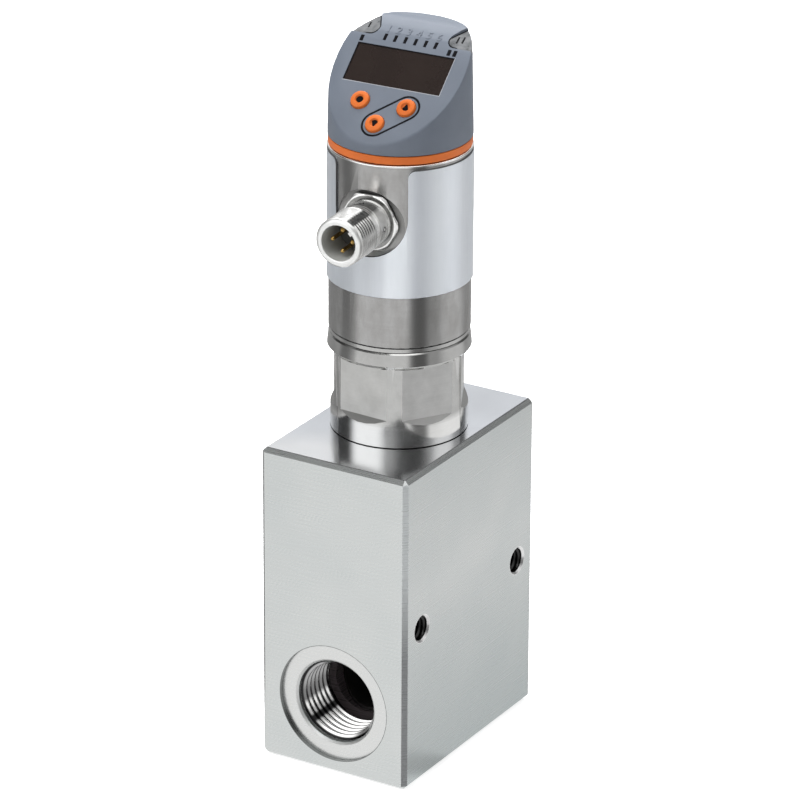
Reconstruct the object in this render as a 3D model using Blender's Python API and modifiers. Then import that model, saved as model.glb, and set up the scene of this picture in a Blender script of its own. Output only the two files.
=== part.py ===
"""Flow sensor: a steel block with two ports and a spring-loaded piston inside, a hexagon neck,
a swivelling steel housing with a round cable socket, and a swivelling display head.

Metres, +Z up. The origin is at the middle of the block's underside, and the sensor's axis is Z.
The inlet port faces -Y, the outlet port +Y, and the two fixing holes +X.
"""

import math

import bmesh
import bpy
from mathutils import Matrix

MM = 0.001
ORIGIN = (0, 0, 0)
QUARTER_TURN = math.pi / 2
EDGE_ANGLE = math.radians(29)

# Clearances
SEAT_GAP = 0.3 * MM
JOINT_GAP = 0.2 * MM
TRIM_GAP = 0.1 * MM
OVERRUN = 1 * MM
SMALL_EDGE = 0.3 * MM

# Facets round a turned piece
LARGE_STEPS = 44
MEDIUM_STEPS = 28
SMALL_STEPS = 18
PIN_STEPS = 10
HEX_SIDES = 6

# Block
BLOCK_WIDTH = 40 * MM
BLOCK_DEPTH = 60 * MM
BLOCK_HEIGHT = 80 * MM
BLOCK_TOP_CHAMFER = 1.1 * MM
BLOCK_SIDE_CHAMFER = 1.0 * MM
CHAMBER_DIAMETER = 29 * MM
CHAMBER_FLOOR = 8 * MM

# Ports
PORT_HEIGHT = 18 * MM
PORT_FACE_DIAMETER = 29.6 * MM
PORT_FACE_DEPTH = 1.0 * MM
PORT_THREAD_DIAMETER = 20.955 * MM
PORT_THREAD_LENGTH = 13.5 * MM
PORT_MOUTH_CHAMFER = 0.5 * MM
PORT_BORE_DIAMETER = 16 * MM

# Fixing holes in the +X face
FIXING_SPACING = 45 * MM
FIXING_HEIGHT = 39.7 * MM
FIXING_DIAMETER = 6 * MM
FIXING_CHAMFER = 0.5 * MM
FIXING_DEPTH = 10 * MM
DRILL_POINT = 0.6

# Neck
NECK_TURN = math.radians(27)
NECK_BODY_DIAMETER = 32.8 * MM
NECK_COLLAR_HEIGHT = 5.6 * MM
NECK_HEX_HEIGHT = 14.4 * MM
NECK_ACROSS_FLATS = 30.0 * MM
NECK_FLANGE_DIAMETER = 34.3 * MM
NECK_FLANGE_TOP_DIAMETER = 33.7 * MM
NECK_FLANGE_HEIGHT = 4.2 * MM
NECK_FLANGE_CHAMFER = 1.0 * MM
NECK_THREAD_LENGTH = 21.7 * MM
NECK_SPIGOT_DIAMETER = 27.9 * MM
NECK_SPIGOT_HEIGHT = 7.5 * MM
NECK_POCKET_DIAMETER = 20 * MM
NECK_WALL = 3 * MM
MAGNET_ROOM_DIAMETER = 12 * MM
MAGNET_ROOM_HEIGHT = 26 * MM
BLOCK_SEAL_WIRE = 1.8 * MM
BLOCK_SEAL_DEPTH = 2.88 * MM
SWIVEL_SEAL_WIRE = 1.2 * MM

# Swivel between neck and housing
WASHER_THICKNESS = 0.9 * MM
WASHER_DIAMETER = 33.2 * MM
CIRCLIP_THICKNESS = 1.0 * MM
CIRCLIP_REACH = 0.7 * MM
CIRCLIP_OPENING = math.radians(40)

# Flow insert, seat, piston and spring
INLET_ROOM_DIAMETER = 13 * MM
INLET_ROOM_FLOOR = 2.7 * MM
OUTLET_ROOM_DIAMETER = 19 * MM
SHOULDER_HEIGHT = 32 * MM
INSERT_WINDOW_DIAMETER = 15 * MM
OUTLET_WINDOW_DIAMETER = 10 * MM
RETURN_CHANNEL_OFFSET = 10.8 * MM
SEAT_BORE_DIAMETER = 12.4 * MM
SEAT_THICKNESS = 3.7 * MM
SEAT_LEAD = 0.6 * MM
PISTON_DIAMETER = 15.2 * MM
PISTON_THICKNESS = 3.0 * MM
PISTON_NOSE_LENGTH = 5.0 * MM
PISTON_NOSE_CLEARANCE = 0.6 * MM
PISTON_STEM_DIAMETER = 6.0 * MM
PISTON_STROKE = 12 * MM
BUSH_LENGTH = 4.4 * MM
BUSH_DIAMETER = 16.4 * MM
MAGNET_DIAMETER = 10.4 * MM
MAGNET_LENGTH = 8 * MM
MAGNET_STEP = 3.3 * MM
MAGNET_PIN_DIAMETER = 4.4 * MM
MAGNET_PIN_END = 0.8 * MM
SPRING_DIAMETER = 10.4 * MM
SPRING_WIRE = 1.0 * MM
SPRING_TURNS = 5.5
SPRING_END_TURNS = 0.8
SPRING_END_PITCH = 1.08 * SPRING_WIRE
SPRING_STEPS = 10

# Housing
HOUSING_TURN = math.radians(3.8)
HOUSING_DIAMETER = 33.7 * MM
HOUSING_WALL = 1.85 * MM
HOUSING_LENGTH = 45.5 * MM
HOUSING_LIP = 3.0 * MM
HOUSING_EDGE_CHAMFER = 0.25 * MM

# Wrap-round label plate
LABEL_THICKNESS = 0.3 * MM
LABEL_BOTTOM_STEP = 12.8 * MM
LABEL_TOP_STEP = 1.4 * MM
ARCH_RADIUS = 10.0 * MM
ARCH_RISE = 1.9 * MM
LABEL_CORNER_RADIUS = 1.6 * MM

# Cable socket, distances from the sensor's axis
SOCKET_HEIGHT = 136.1 * MM
SOCKET_TIP = 31.2 * MM
SOCKET_THREAD_LENGTH = 9.9 * MM
SOCKET_THREAD_DIAMETER = 11.9 * MM
SOCKET_TIP_CHAMFER = 0.5 * MM
SOCKET_NECK_DIAMETER = 10.4 * MM
SOCKET_BORE_DIAMETER = 8.6 * MM
SOCKET_RECESS = 8.7 * MM
SOCKET_NUT_ACROSS_FLATS = 13.6 * MM
SOCKET_NUT_FACE = 15.9 * MM
SOCKET_NUT_TURN = math.radians(30)
SOCKET_NUT_CORNER_DIAMETER = 14.8 * MM
SOCKET_SPIGOT_DIAMETER = 11.8 * MM
SOCKET_SPIGOT_SINK = 0.5 * MM
SOCKET_SPIGOT_END = 1.5 * MM
SOCKET_INSERT_END = 3 * MM
SOCKET_FLOOR = 14.35 * MM
SOCKET_PAD_THICKNESS = 1.6 * MM
SOCKET_PAD_DIAMETER = 19.4 * MM
SOCKET_SEAT_DIAMETER = 17.4 * MM
SOCKET_SEAT_DROP = 0.4 * MM
GASKET_THICKNESS = 0.5 * MM
LOCKNUT_THICKNESS = 2.0 * MM
LOCKNUT_ACROSS_FLATS = 14.0 * MM
KEY_WIDTH = 1.0 * MM
KEY_DEPTH = 0.55 * MM
KEY_ANGLE = math.radians(42)
PIN_DIAMETER = 1.0 * MM
PIN_CIRCLE = 5.1 * MM
PIN_RECESS = 1.9 * MM
BOARD_THICKNESS = 1.2 * MM
CHIP_SIZE = 4 * MM
CHIP_HEIGHT = 1.2 * MM
MAIN_BOARD_OFFSET = 5.0 * MM
MAIN_BOARD_MARGIN = 1.0 * MM

# Orange ring
RING_DIAMETER = 33.9 * MM
RING_HEIGHT = 1.9 * MM
RING_WIDTH = 2.6 * MM

# Display head
HEAD_TURN = math.radians(3.1)
HEAD_DIAMETER = 34.1 * MM
HEAD_DRAFT = math.radians(1.3)
HEAD_WALL = 1.5 * MM
HEAD_WEB = 1.2 * MM
HEAD_EDGE_ROUND = 0.5 * MM
HEAD_STRAIGHT = 0.9 * MM
FACE_TILT = math.radians(40.3)
FACE_RISE = 16.7 * MM
DOME_START = 4.1 * MM
DOME_RADIUS = 15.8 * MM
SNAP_TUBE_WALL = 1.15 * MM
SNAP_BEAD = 0.45 * MM
SNAP_BEAD_HEIGHT = 1.0 * MM
SNAP_TUBE_END = 1.5 * MM

# On the inclined face: x to the right, y up the slope from the sensor's axis
WINDOW_WIDTH = 25.0 * MM
WINDOW_HEIGHT = 10.15 * MM
WINDOW_CENTRE = -1.45 * MM
WINDOW_THICKNESS = 0.8 * MM
WINDOW_LEDGE = 1.0 * MM
LAMP_SLOTS = 6
LAMP_PITCH = 2.63 * MM
LAMP_WIDTH = 0.8 * MM
LAMP_LENGTH = 1.85 * MM
LAMP_LINE = 6.2 * MM
BUTTON_DIAMETER = 4.7 * MM
BUTTON_RISE = 0.8 * MM
BUTTON_DISH = 0.4 * MM
BUTTON_EDGE = 0.6 * MM
BUTTON_SIDE = 6.0 * MM
BUTTON_UPPER_LINE = -11.3 * MM
BUTTON_LOWER_LINE = -16.7 * MM
BUTTON_FLANGE_DIAMETER = 6.0 * MM
BUTTON_FLANGE_THICKNESS = 0.55 * MM
BUTTON_STEM_DIAMETER = 2.6 * MM
BUTTON_TRAVEL = 0.5 * MM
SWITCH_SIZE = 4.2 * MM
SWITCH_HEIGHT = 1.3 * MM
SWITCH_KEY_HEIGHT = 0.5 * MM
HEAD_BOARD_DEPTH = 6.0 * MM
MODULE_WIDTH = 20.6 * MM
MODULE_HEIGHT = 9.0 * MM

# Status windows in the two upper corners, seen from above the head
LENS_CORNER_X = 10.86 * MM
LENS_CORNER_Y = 6.8 * MM
LENS_CORNER_RADIUS = 1.9 * MM
LENS_SIDE_ANGLE = math.radians(63.9)
LENS_FLOOR_RISE = 3.0 * MM
LENS_FLOOR_WALL = 1.5 * MM
LENS_TILT_OUT = math.radians(9.5)
LENS_TILT_FORWARD = math.radians(16.7)
LENS_DROP = 0.1 * MM
LENS_PEG_DIAMETER = 2.0 * MM
LENS_PEG_LENGTH = 3.4 * MM
LENS_PEG_ROOT = 0.5 * MM
LENS_PEG_X = 10.4 * MM
LENS_PEG_Y = 7.4 * MM

# Heights that follow from the sizes above
NECK_BOTTOM = BLOCK_HEIGHT - NECK_THREAD_LENGTH
COLLAR_TOP = BLOCK_HEIGHT + NECK_COLLAR_HEIGHT
FLANGE_BASE = COLLAR_TOP + NECK_HEX_HEIGHT
FLANGE_TOP = FLANGE_BASE + NECK_FLANGE_HEIGHT
HOUSING_BASE = FLANGE_TOP + WASHER_THICKNESS + 2 * JOINT_GAP
HOUSING_TOP = HOUSING_BASE + HOUSING_LENGTH
SPIGOT_TOP = FLANGE_TOP + NECK_SPIGOT_HEIGHT
RING_BASE = HOUSING_TOP + JOINT_GAP
HEAD_BASE = RING_BASE + RING_HEIGHT + JOINT_GAP
FACE_HEIGHT = HEAD_BASE + FACE_RISE
MAGNET_ROOM_FLOOR = NECK_BOTTOM + BUSH_LENGTH + SEAT_GAP
MAGNET_ROOM_TOP = MAGNET_ROOM_FLOOR + MAGNET_ROOM_HEIGHT
POCKET_FLOOR = MAGNET_ROOM_TOP + NECK_WALL
SEAT_BASE = SHOULDER_HEIGHT + SEAT_GAP
PISTON_BASE = SEAT_BASE + SEAT_THICKNESS + SEAT_GAP
PISTON_TOP = PISTON_BASE + PISTON_THICKNESS
MAGNET_BASE = MAGNET_ROOM_FLOOR + MAGNET_STEP
SPIGOT_BORE_DIAMETER = NECK_SPIGOT_DIAMETER + 2 * SEAT_GAP
HEAD_TUBE_DIAMETER = SPIGOT_BORE_DIAMETER - 2 * SEAT_GAP
ROOM_DIAMETER = HOUSING_DIAMETER - 2 * HOUSING_WALL

COLOURS = {
    "steel": ((0.62, 0.62, 0.61), 0.28, 1.0),
    "bright_steel": ((0.72, 0.72, 0.70), 0.2, 1.0),
    "label_steel": ((0.74, 0.76, 0.78), 0.4, 0.8),
    "grey_plastic": ((0.22, 0.25, 0.29), 0.5, 0.0),
    "orange_plastic": ((0.86, 0.19, 0.04), 0.45, 0.0),
    "smoked_window": ((0.035, 0.025, 0.022), 0.25, 0.0),
    "lens_plastic": ((0.2, 0.21, 0.22), 0.35, 0.0),
    "black_plastic": ((0.02, 0.02, 0.022), 0.5, 0.0),
    "socket_plastic": ((0.12, 0.12, 0.12), 0.5, 0.0),
    "rubber": ((0.015, 0.015, 0.015), 0.7, 0.0),
    "gold": ((0.83, 0.58, 0.22), 0.25, 1.0),
    "board": ((0.02, 0.16, 0.07), 0.5, 0.0),
    "magnet": ((0.1, 0.1, 0.11), 0.5, 0.6),
    "spring_steel": ((0.5, 0.5, 0.5), 0.3, 1.0),
    "guide_plastic": ((0.75, 0.73, 0.66), 0.5, 0.0),
}


# Scene, groups and materials


def clear_scene():
    for obj in list(bpy.data.objects):
        bpy.data.objects.remove(obj, do_unlink=True)


def new_group(name, helper=False):
    group = bpy.data.collections.new(name)
    bpy.context.scene.collection.children.link(group)
    group.hide_render = helper
    return group


def new_material(name):
    colour, roughness, metallic = COLOURS[name]
    material = bpy.data.materials.new(name)
    material.use_nodes = True
    shader = material.node_tree.nodes["Principled BSDF"]
    shader.inputs["Base Color"].default_value = (*colour, 1)
    shader.inputs["Roughness"].default_value = roughness
    shader.inputs["Metallic"].default_value = metallic
    material.diffuse_color = (*colour, 1)
    return material


def new_frame(name, group, parent=None, at=ORIGIN, turn=ORIGIN):
    frame = bpy.data.objects.new(name, None)
    frame.parent = parent
    frame.location = at
    frame.rotation_euler = turn
    frame.empty_display_size = 5 * MM
    group.objects.link(frame)
    return frame


# Outlines


def arc(centre, radius, start, end, count):
    """Points on a circle from one angle to another, in radians."""
    step = (end - start) / (count - 1)
    angles = [start + step * i for i in range(count)]
    return [(centre[0] + radius * math.cos(a), centre[1] + radius * math.sin(a)) for a in angles]


def ring_section(inner, outer, bottom, top):
    """Half section of a plain ring, by its radii and heights."""
    return [(inner, top), (outer, top), (outer, bottom), (inner, bottom)]


# Solids


class Workshop:
    """Makes the solids of one group, with the cutters beside them."""

    def __init__(self, parts, cutters):
        self.parts = parts
        self.cutters = cutters
        self.materials = {name: new_material(name) for name in COLOURS}

    def keep(self, name, mesh, parent, at, turn, material):
        """Links a new object: a part where it has a material, and a cutter where it has none."""
        obj = bpy.data.objects.new(name, mesh)
        obj.parent = parent
        obj.location = at
        obj.rotation_euler = turn
        if material:
            mesh.materials.append(self.materials[material])
            self.parts.objects.link(obj)
        else:
            obj.hide_render = True
            obj.display_type = "WIRE"
            self.cutters.objects.link(obj)
        return obj

    def turned(self, name, section, steps, material=None, parent=None, at=ORIGIN, turn=ORIGIN):
        """A half section (radius, height) turned round Z. It runs down its outer side."""
        mesh = bpy.data.meshes.new(name)
        last = len(section) - 1
        edges = [(i, i + 1) for i in range(last)]
        if section[0][0] > 0:
            edges.append((last, 0))
        mesh.from_pydata([(r, 0, z) for r, z in section], edges, [])
        obj = self.keep(name, mesh, parent, at, turn, material)
        screw = obj.modifiers.new("Turn", "SCREW")
        screw.steps = screw.render_steps = steps
        screw.use_merge_vertices = True
        screw.merge_threshold = 0.001 * MM
        return obj

    def rod(self, name, diameter, bottom, top, steps, material=None, parent=None, at=ORIGIN, turn=ORIGIN):
        """A plain cylinder along Z, or a prism where it has few sides."""
        shape = bmesh.new()
        middle = Matrix.Translation((0, 0, (bottom + top) / 2))
        size = {"radius1": diameter / 2, "radius2": diameter / 2, "depth": top - bottom}
        bmesh.ops.create_cone(shape, cap_ends=True, segments=steps, matrix=middle, **size)
        mesh = bpy.data.meshes.new(name)
        shape.to_mesh(mesh)
        shape.free()
        return self.keep(name, mesh, parent, at, turn, material)

    def box(self, name, low, high, material=None, parent=None, at=ORIGIN, turn=ORIGIN):
        """A box from its lowest to its highest corner."""
        shape = bmesh.new()
        middle = Matrix.Translation([(a + b) / 2 for a, b in zip(low, high)])
        size = Matrix.Diagonal([b - a for a, b in zip(low, high)] + [1])
        bmesh.ops.create_cube(shape, size=1, matrix=middle @ size)
        mesh = bpy.data.meshes.new(name)
        shape.to_mesh(mesh)
        shape.free()
        return self.keep(name, mesh, parent, at, turn, material)

    def plate(self, name, outline, bottom, top, material=None, parent=None, at=ORIGIN, turn=ORIGIN):
        """A flat outline (x, y) given a thickness along Z."""
        curve = bpy.data.curves.new(name, "CURVE")
        curve.dimensions = "2D"
        curve.fill_mode = "BOTH"
        curve.extrude = (top - bottom) / 2
        spline = curve.splines.new("POLY")
        spline.points.add(len(outline) - 1)
        for point, (x, y) in zip(spline.points, outline):
            point.co = (x, y, 0, 1)
        spline.use_cyclic_u = True
        mesh = self.mesh_of(bpy.data.objects.new(name, curve))
        mesh.transform(Matrix.Translation((0, 0, (bottom + top) / 2)))
        return self.keep(name, mesh, parent, at, turn, material)

    def mesh_of(self, curve_object):
        """The closed mesh of a curve object, which is removed."""
        self.cutters.objects.link(curve_object)
        graph = bpy.context.evaluated_depsgraph_get()
        mesh = bpy.data.meshes.new_from_object(curve_object.evaluated_get(graph))
        mesh.name = curve_object.name
        shape = bmesh.new()
        shape.from_mesh(mesh)
        bmesh.ops.remove_doubles(shape, verts=shape.verts, dist=0.001 * MM)
        bmesh.ops.recalc_face_normals(shape, faces=shape.faces)
        shape.to_mesh(mesh)
        shape.free()
        mesh.materials.clear()
        bpy.data.objects.remove(curve_object, do_unlink=True)
        return mesh


def combine(obj, other, operation, solver="EXACT"):
    modifier = obj.modifiers.new(f"{operation.title()} {other.name}", "BOOLEAN")
    modifier.operation = operation
    modifier.solver = solver
    modifier.object = other


def cut(obj, *others, solver="EXACT"):
    for other in others:
        combine(obj, other, "DIFFERENCE", solver)


def join(obj, *others):
    for other in others:
        combine(obj, other, "UNION")


def upper_edges(shape, above):
    edges = [edge for edge in shape.edges if min(vert.co.z for vert in edge.verts) > above]
    return [edge for edge in edges if edge.calc_face_angle(0) > EDGE_ANGLE]


def round_upper_edges(obj, width, above):
    """Rounds every real edge above a height of the object, with its modifiers applied.

    Corners nearer than the rounding's width are merged first, because it would fold there.
    """
    bpy.context.view_layer.update()
    graph = bpy.context.evaluated_depsgraph_get()
    shape = bmesh.new()
    shape.from_mesh(bpy.data.meshes.new_from_object(obj.evaluated_get(graph)))
    corners = {vert for edge in upper_edges(shape, above) for vert in edge.verts}
    bmesh.ops.remove_doubles(shape, verts=list(corners), dist=width)
    edges = upper_edges(shape, above)
    bmesh.ops.bevel(shape, geom=edges, offset=width, segments=2, profile=0.5, affect="EDGES")
    obj.modifiers.clear()
    shape.to_mesh(obj.data)
    shape.free()


def finish_meshes(group):
    """Applies each part's modifiers, then shades it smooth with its real edges sharp."""
    bpy.context.view_layer.update()
    graph = bpy.context.evaluated_depsgraph_get()
    made = {}
    for obj in group.objects:
        if obj.type == "MESH":
            made[obj] = bpy.data.meshes.new_from_object(obj.evaluated_get(graph))
    for obj, mesh in made.items():
        obj.modifiers.clear()
        obj.data = mesh
        mesh.name = obj.name
        mesh.shade_smooth()
        mesh.set_sharp_from_angle(angle=EDGE_ANGLE)


# Block, with its ports, chamber and fixing holes


def chamfered_block(shop):
    block = shop.box(
        "flow_block",
        (-BLOCK_WIDTH / 2, -BLOCK_DEPTH / 2, 0),
        (BLOCK_WIDTH / 2, BLOCK_DEPTH / 2, BLOCK_HEIGHT),
        "steel",
    )
    mesh = block.data
    weights = mesh.attributes.new("bevel_weight_edge", "FLOAT", "EDGE")
    for edge in mesh.edges:
        ends = [mesh.vertices[i].co.z for i in edge.vertices]
        on_top = min(ends) > BLOCK_HEIGHT / 2
        weights.data[edge.index].value = 1.0 if on_top else BLOCK_SIDE_CHAMFER / BLOCK_TOP_CHAMFER
    chamfer = block.modifiers.new("Chamfer", "BEVEL")
    chamfer.width = BLOCK_TOP_CHAMFER
    chamfer.segments = 1
    chamfer.limit_method = "WEIGHT"
    return block


def port_cutter(shop, name, frame):
    """Sunk face, chamfered mouth, plain thread at its root diameter and the bore behind."""
    face = PORT_FACE_DIAMETER / 2
    root = PORT_THREAD_DIAMETER / 2
    bore = PORT_BORE_DIAMETER / 2
    mouth = root + PORT_MOUTH_CHAMFER
    past_wall = -BLOCK_DEPTH / 2 + CHAMBER_DIAMETER / 2 - 3 * OVERRUN
    section = [
        (0, OVERRUN),
        (face, OVERRUN),
        (face, -PORT_FACE_DEPTH),
        (mouth, -PORT_FACE_DEPTH),
        (root, -PORT_FACE_DEPTH - PORT_MOUTH_CHAMFER),
        (root, -PORT_FACE_DEPTH - PORT_THREAD_LENGTH),
        (bore, -PORT_FACE_DEPTH - PORT_THREAD_LENGTH),
        (bore, past_wall),
        (0, past_wall),
    ]
    return shop.turned(name, section, LARGE_STEPS, parent=frame)


def fixing_cutter(shop, name, y):
    radius = FIXING_DIAMETER / 2
    mouth = radius + FIXING_CHAMFER
    section = [
        (0, OVERRUN),
        (mouth, OVERRUN),
        (mouth, 0),
        (radius, -FIXING_CHAMFER),
        (radius, -FIXING_DEPTH),
        (0, -FIXING_DEPTH - radius * DRILL_POINT),
    ]
    place = (BLOCK_WIDTH / 2, y, FIXING_HEIGHT)
    return shop.turned(name, section, SMALL_STEPS, at=place, turn=(0, QUARTER_TURN, 0))


def flow_block(shop, frames):
    block = chamfered_block(shop)
    top = BLOCK_HEIGHT + OVERRUN
    chamber = shop.rod("chamber_cutter", CHAMBER_DIAMETER, CHAMBER_FLOOR, top, LARGE_STEPS)
    cut(block, chamber)
    cut(block, port_cutter(shop, "inlet_cutter", frames["inlet"]))
    cut(block, port_cutter(shop, "outlet_cutter", frames["outlet"]))
    cut(block, fixing_cutter(shop, "fixing_cutter_front", -FIXING_SPACING / 2))
    cut(block, fixing_cutter(shop, "fixing_cutter_rear", FIXING_SPACING / 2))


# Flow insert, valve seat, piston, magnet, spring and bush


def flow_insert(shop, frames):
    outer = CHAMBER_DIAMETER / 2 - SEAT_GAP
    bottom = CHAMBER_FLOOR + SEAT_GAP
    top = NECK_BOTTOM - SEAT_GAP
    section = [
        (0, bottom + INLET_ROOM_FLOOR),
        (INLET_ROOM_DIAMETER / 2, bottom + INLET_ROOM_FLOOR),
        (INLET_ROOM_DIAMETER / 2, SHOULDER_HEIGHT),
        (OUTLET_ROOM_DIAMETER / 2, SHOULDER_HEIGHT),
        (OUTLET_ROOM_DIAMETER / 2, top),
        (outer, top),
        (outer, bottom),
        (0, bottom),
    ]
    insert = shop.turned("flow_insert", section, LARGE_STEPS, "guide_plastic")
    reach = CHAMBER_DIAMETER / 2 + OVERRUN
    inlet = shop.rod(
        "insert_inlet_cutter", INSERT_WINDOW_DIAMETER, 0, reach, SMALL_STEPS,
        at=(0, 0, PORT_HEIGHT), turn=(QUARTER_TURN, 0, 0),
    )
    window_height = SHOULDER_HEIGHT + SEAT_THICKNESS + PISTON_STROKE
    outlet = shop.rod(
        "insert_outlet_cutter", OUTLET_WINDOW_DIAMETER, 0, reach, SMALL_STEPS,
        at=(0, 0, window_height), turn=(-QUARTER_TURN, 0, 0),
    )
    channel = shop.box(
        "return_channel_cutter",
        (-reach, RETURN_CHANNEL_OFFSET, bottom + INLET_ROOM_FLOOR / 2),
        (reach, reach, window_height + OUTLET_WINDOW_DIAMETER / 2),
    )
    cut(insert, inlet, outlet, channel)


def valve_seat(shop):
    bore = SEAT_BORE_DIAMETER / 2
    top = SEAT_BASE + SEAT_THICKNESS
    section = [
        (bore + SEAT_LEAD, top),
        (OUTLET_ROOM_DIAMETER / 2 - SEAT_GAP, top),
        (OUTLET_ROOM_DIAMETER / 2 - SEAT_GAP, SEAT_BASE),
        (bore, SEAT_BASE),
        (bore, top - SEAT_LEAD),
    ]
    shop.turned("valve_seat", section, MEDIUM_STEPS, "bright_steel")


def piston(shop):
    """Disc with a cone below it that meters the flow, and a stem that carries the magnet."""
    disc = PISTON_DIAMETER / 2
    stem = PISTON_STEM_DIAMETER / 2
    pin = MAGNET_PIN_DIAMETER / 2
    nose = SEAT_BORE_DIAMETER / 2 - PISTON_NOSE_CLEARANCE
    pin_top = MAGNET_BASE + MAGNET_LENGTH + MAGNET_PIN_END
    edge = SMALL_EDGE
    section = [
        (0, pin_top),
        (pin - edge, pin_top),
        (pin, pin_top - edge),
        (pin, MAGNET_BASE - SEAT_GAP),
        (stem, MAGNET_BASE - SEAT_GAP),
        (stem, PISTON_TOP),
        (disc - edge, PISTON_TOP),
        (disc, PISTON_TOP - edge),
        (disc, PISTON_BASE),
        (nose, PISTON_BASE),
        (nose, PISTON_BASE - OVERRUN),
        (stem, PISTON_BASE - PISTON_NOSE_LENGTH),
        (0, PISTON_BASE - PISTON_NOSE_LENGTH),
    ]
    shop.turned("piston", section, SMALL_STEPS, "bright_steel")


def piston_magnet(shop):
    inner = MAGNET_PIN_DIAMETER / 2 + TRIM_GAP
    section = ring_section(inner, MAGNET_DIAMETER / 2, MAGNET_BASE, MAGNET_BASE + MAGNET_LENGTH)
    shop.turned("piston_magnet", section, SMALL_STEPS, "magnet")


def guide_bush(shop):
    inner = PISTON_STEM_DIAMETER / 2 + SEAT_GAP
    section = ring_section(inner, BUSH_DIAMETER / 2, NECK_BOTTOM, NECK_BOTTOM + BUSH_LENGTH)
    shop.turned("guide_bush", section, SMALL_STEPS, "guide_plastic")


def spring_height(share, bottom, top):
    """Height of the wire along the coil: level for most of a turn at each end, even between."""
    level = SPRING_END_TURNS / SPRING_TURNS
    rise = min(max((share - level) / (1 - 2 * level), 0), 1)
    lowest = bottom + SPRING_END_PITCH * min(share / level, 1)
    highest = SPRING_END_PITCH * min(max((share - 1 + level) / level, 0), 1)
    return lowest + highest + rise * (top - bottom - 2 * SPRING_END_PITCH)


def piston_spring(shop):
    """A round wire wound from the piston's disc up to the bush."""
    bottom = PISTON_TOP + SEAT_GAP + SPRING_WIRE / 2
    top = NECK_BOTTOM - SEAT_GAP - SPRING_WIRE / 2
    radius = SPRING_DIAMETER / 2
    count = int(SPRING_TURNS * SPRING_STEPS)
    curve = bpy.data.curves.new("piston_spring", "CURVE")
    curve.dimensions = "3D"
    curve.bevel_depth = SPRING_WIRE / 2
    curve.bevel_resolution = 1
    curve.use_fill_caps = True
    spline = curve.splines.new("POLY")
    spline.points.add(count)
    for i, point in enumerate(spline.points):
        share = i / count
        angle = 2 * math.pi * SPRING_TURNS * share
        height = spring_height(share, bottom, top)
        point.co = (radius * math.cos(angle), radius * math.sin(angle), height, 1)
    mesh = shop.mesh_of(bpy.data.objects.new("piston_spring", curve))
    shop.keep("piston_spring", mesh, None, ORIGIN, ORIGIN, "spring_steel")


# Neck, with the pieces that seal it and let the housing turn


def seal_groove(radius, bore, wire, middle):
    """Points of a square groove for a seal ring in an outer wall, top to bottom."""
    depth = bore - wire - 2 * TRIM_GAP
    half = wire / 2 + TRIM_GAP
    upper, lower = middle + half, middle - half
    return [(radius, upper), (depth, upper), (depth, lower), (radius, lower)]


def block_seal_height():
    return BLOCK_HEIGHT - BLOCK_SEAL_DEPTH


def swivel_seal_height():
    return HOUSING_BASE + HOUSING_LIP / 2


def circlip_base():
    return HOUSING_BASE + HOUSING_LIP + JOINT_GAP


def neck_section():
    pocket = NECK_POCKET_DIAMETER / 2
    spigot = NECK_SPIGOT_DIAMETER / 2
    body = NECK_BODY_DIAMETER / 2
    flange = NECK_FLANGE_DIAMETER / 2
    flange_top = NECK_FLANGE_TOP_DIAMETER / 2
    thread = CHAMBER_DIAMETER / 2 - SEAT_GAP
    edge = SMALL_EDGE
    clip_low = circlip_base() - TRIM_GAP
    clip_high = circlip_base() + CIRCLIP_THICKNESS + TRIM_GAP
    clip_root = spigot - CIRCLIP_REACH
    inside_up = [(0, POCKET_FLOOR), (pocket, POCKET_FLOOR), (pocket, SPIGOT_TOP)]
    clip_groove = [(spigot, clip_high), (clip_root, clip_high), (clip_root, clip_low), (spigot, clip_low)]
    flange_down = [
        (spigot, FLANGE_TOP),
        (flange_top - edge, FLANGE_TOP),
        (flange_top, FLANGE_TOP - edge),
        (flange, FLANGE_BASE + NECK_FLANGE_CHAMFER),
        (flange - NECK_FLANGE_CHAMFER, FLANGE_BASE),
        (body, FLANGE_BASE),
        (body, BLOCK_HEIGHT + JOINT_GAP),
        (thread, BLOCK_HEIGHT + JOINT_GAP),
    ]
    bore_up = [
        (thread, NECK_BOTTOM),
        (BUSH_DIAMETER / 2 + SEAT_GAP, NECK_BOTTOM),
        (BUSH_DIAMETER / 2 + SEAT_GAP, MAGNET_ROOM_FLOOR),
        (MAGNET_ROOM_DIAMETER / 2, MAGNET_ROOM_FLOOR),
        (MAGNET_ROOM_DIAMETER / 2, MAGNET_ROOM_TOP),
        (0, MAGNET_ROOM_TOP),
    ]
    return (
        inside_up
        + [(spigot - edge, SPIGOT_TOP), (spigot, SPIGOT_TOP - edge)]
        + clip_groove
        + seal_groove(spigot, SPIGOT_BORE_DIAMETER / 2, SWIVEL_SEAL_WIRE, swivel_seal_height())
        + flange_down
        + seal_groove(thread, CHAMBER_DIAMETER / 2, BLOCK_SEAL_WIRE, block_seal_height())
        + bore_up
    )


def neck_hexagon(shop, frames):
    """The six flats, which run out into the collar at 45 degrees."""
    half_side = math.pi / HEX_SIDES
    low, high = COLLAR_TOP - 2 * OVERRUN, FLANGE_BASE + OVERRUN
    run_out = COLLAR_TOP + (NECK_BODY_DIAMETER - NECK_ACROSS_FLATS) / 2
    flat = NECK_ACROSS_FLATS / 2
    corner = flat / math.cos(half_side)
    spread_corner = (flat + run_out - low) / math.cos(half_side)
    section = [(0, high), (corner, high), (corner, run_out), (spread_corner, low), (0, low)]
    return shop.turned("neck_flats", section, HEX_SIDES, parent=frames["neck"], turn=(0, 0, half_side))


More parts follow.
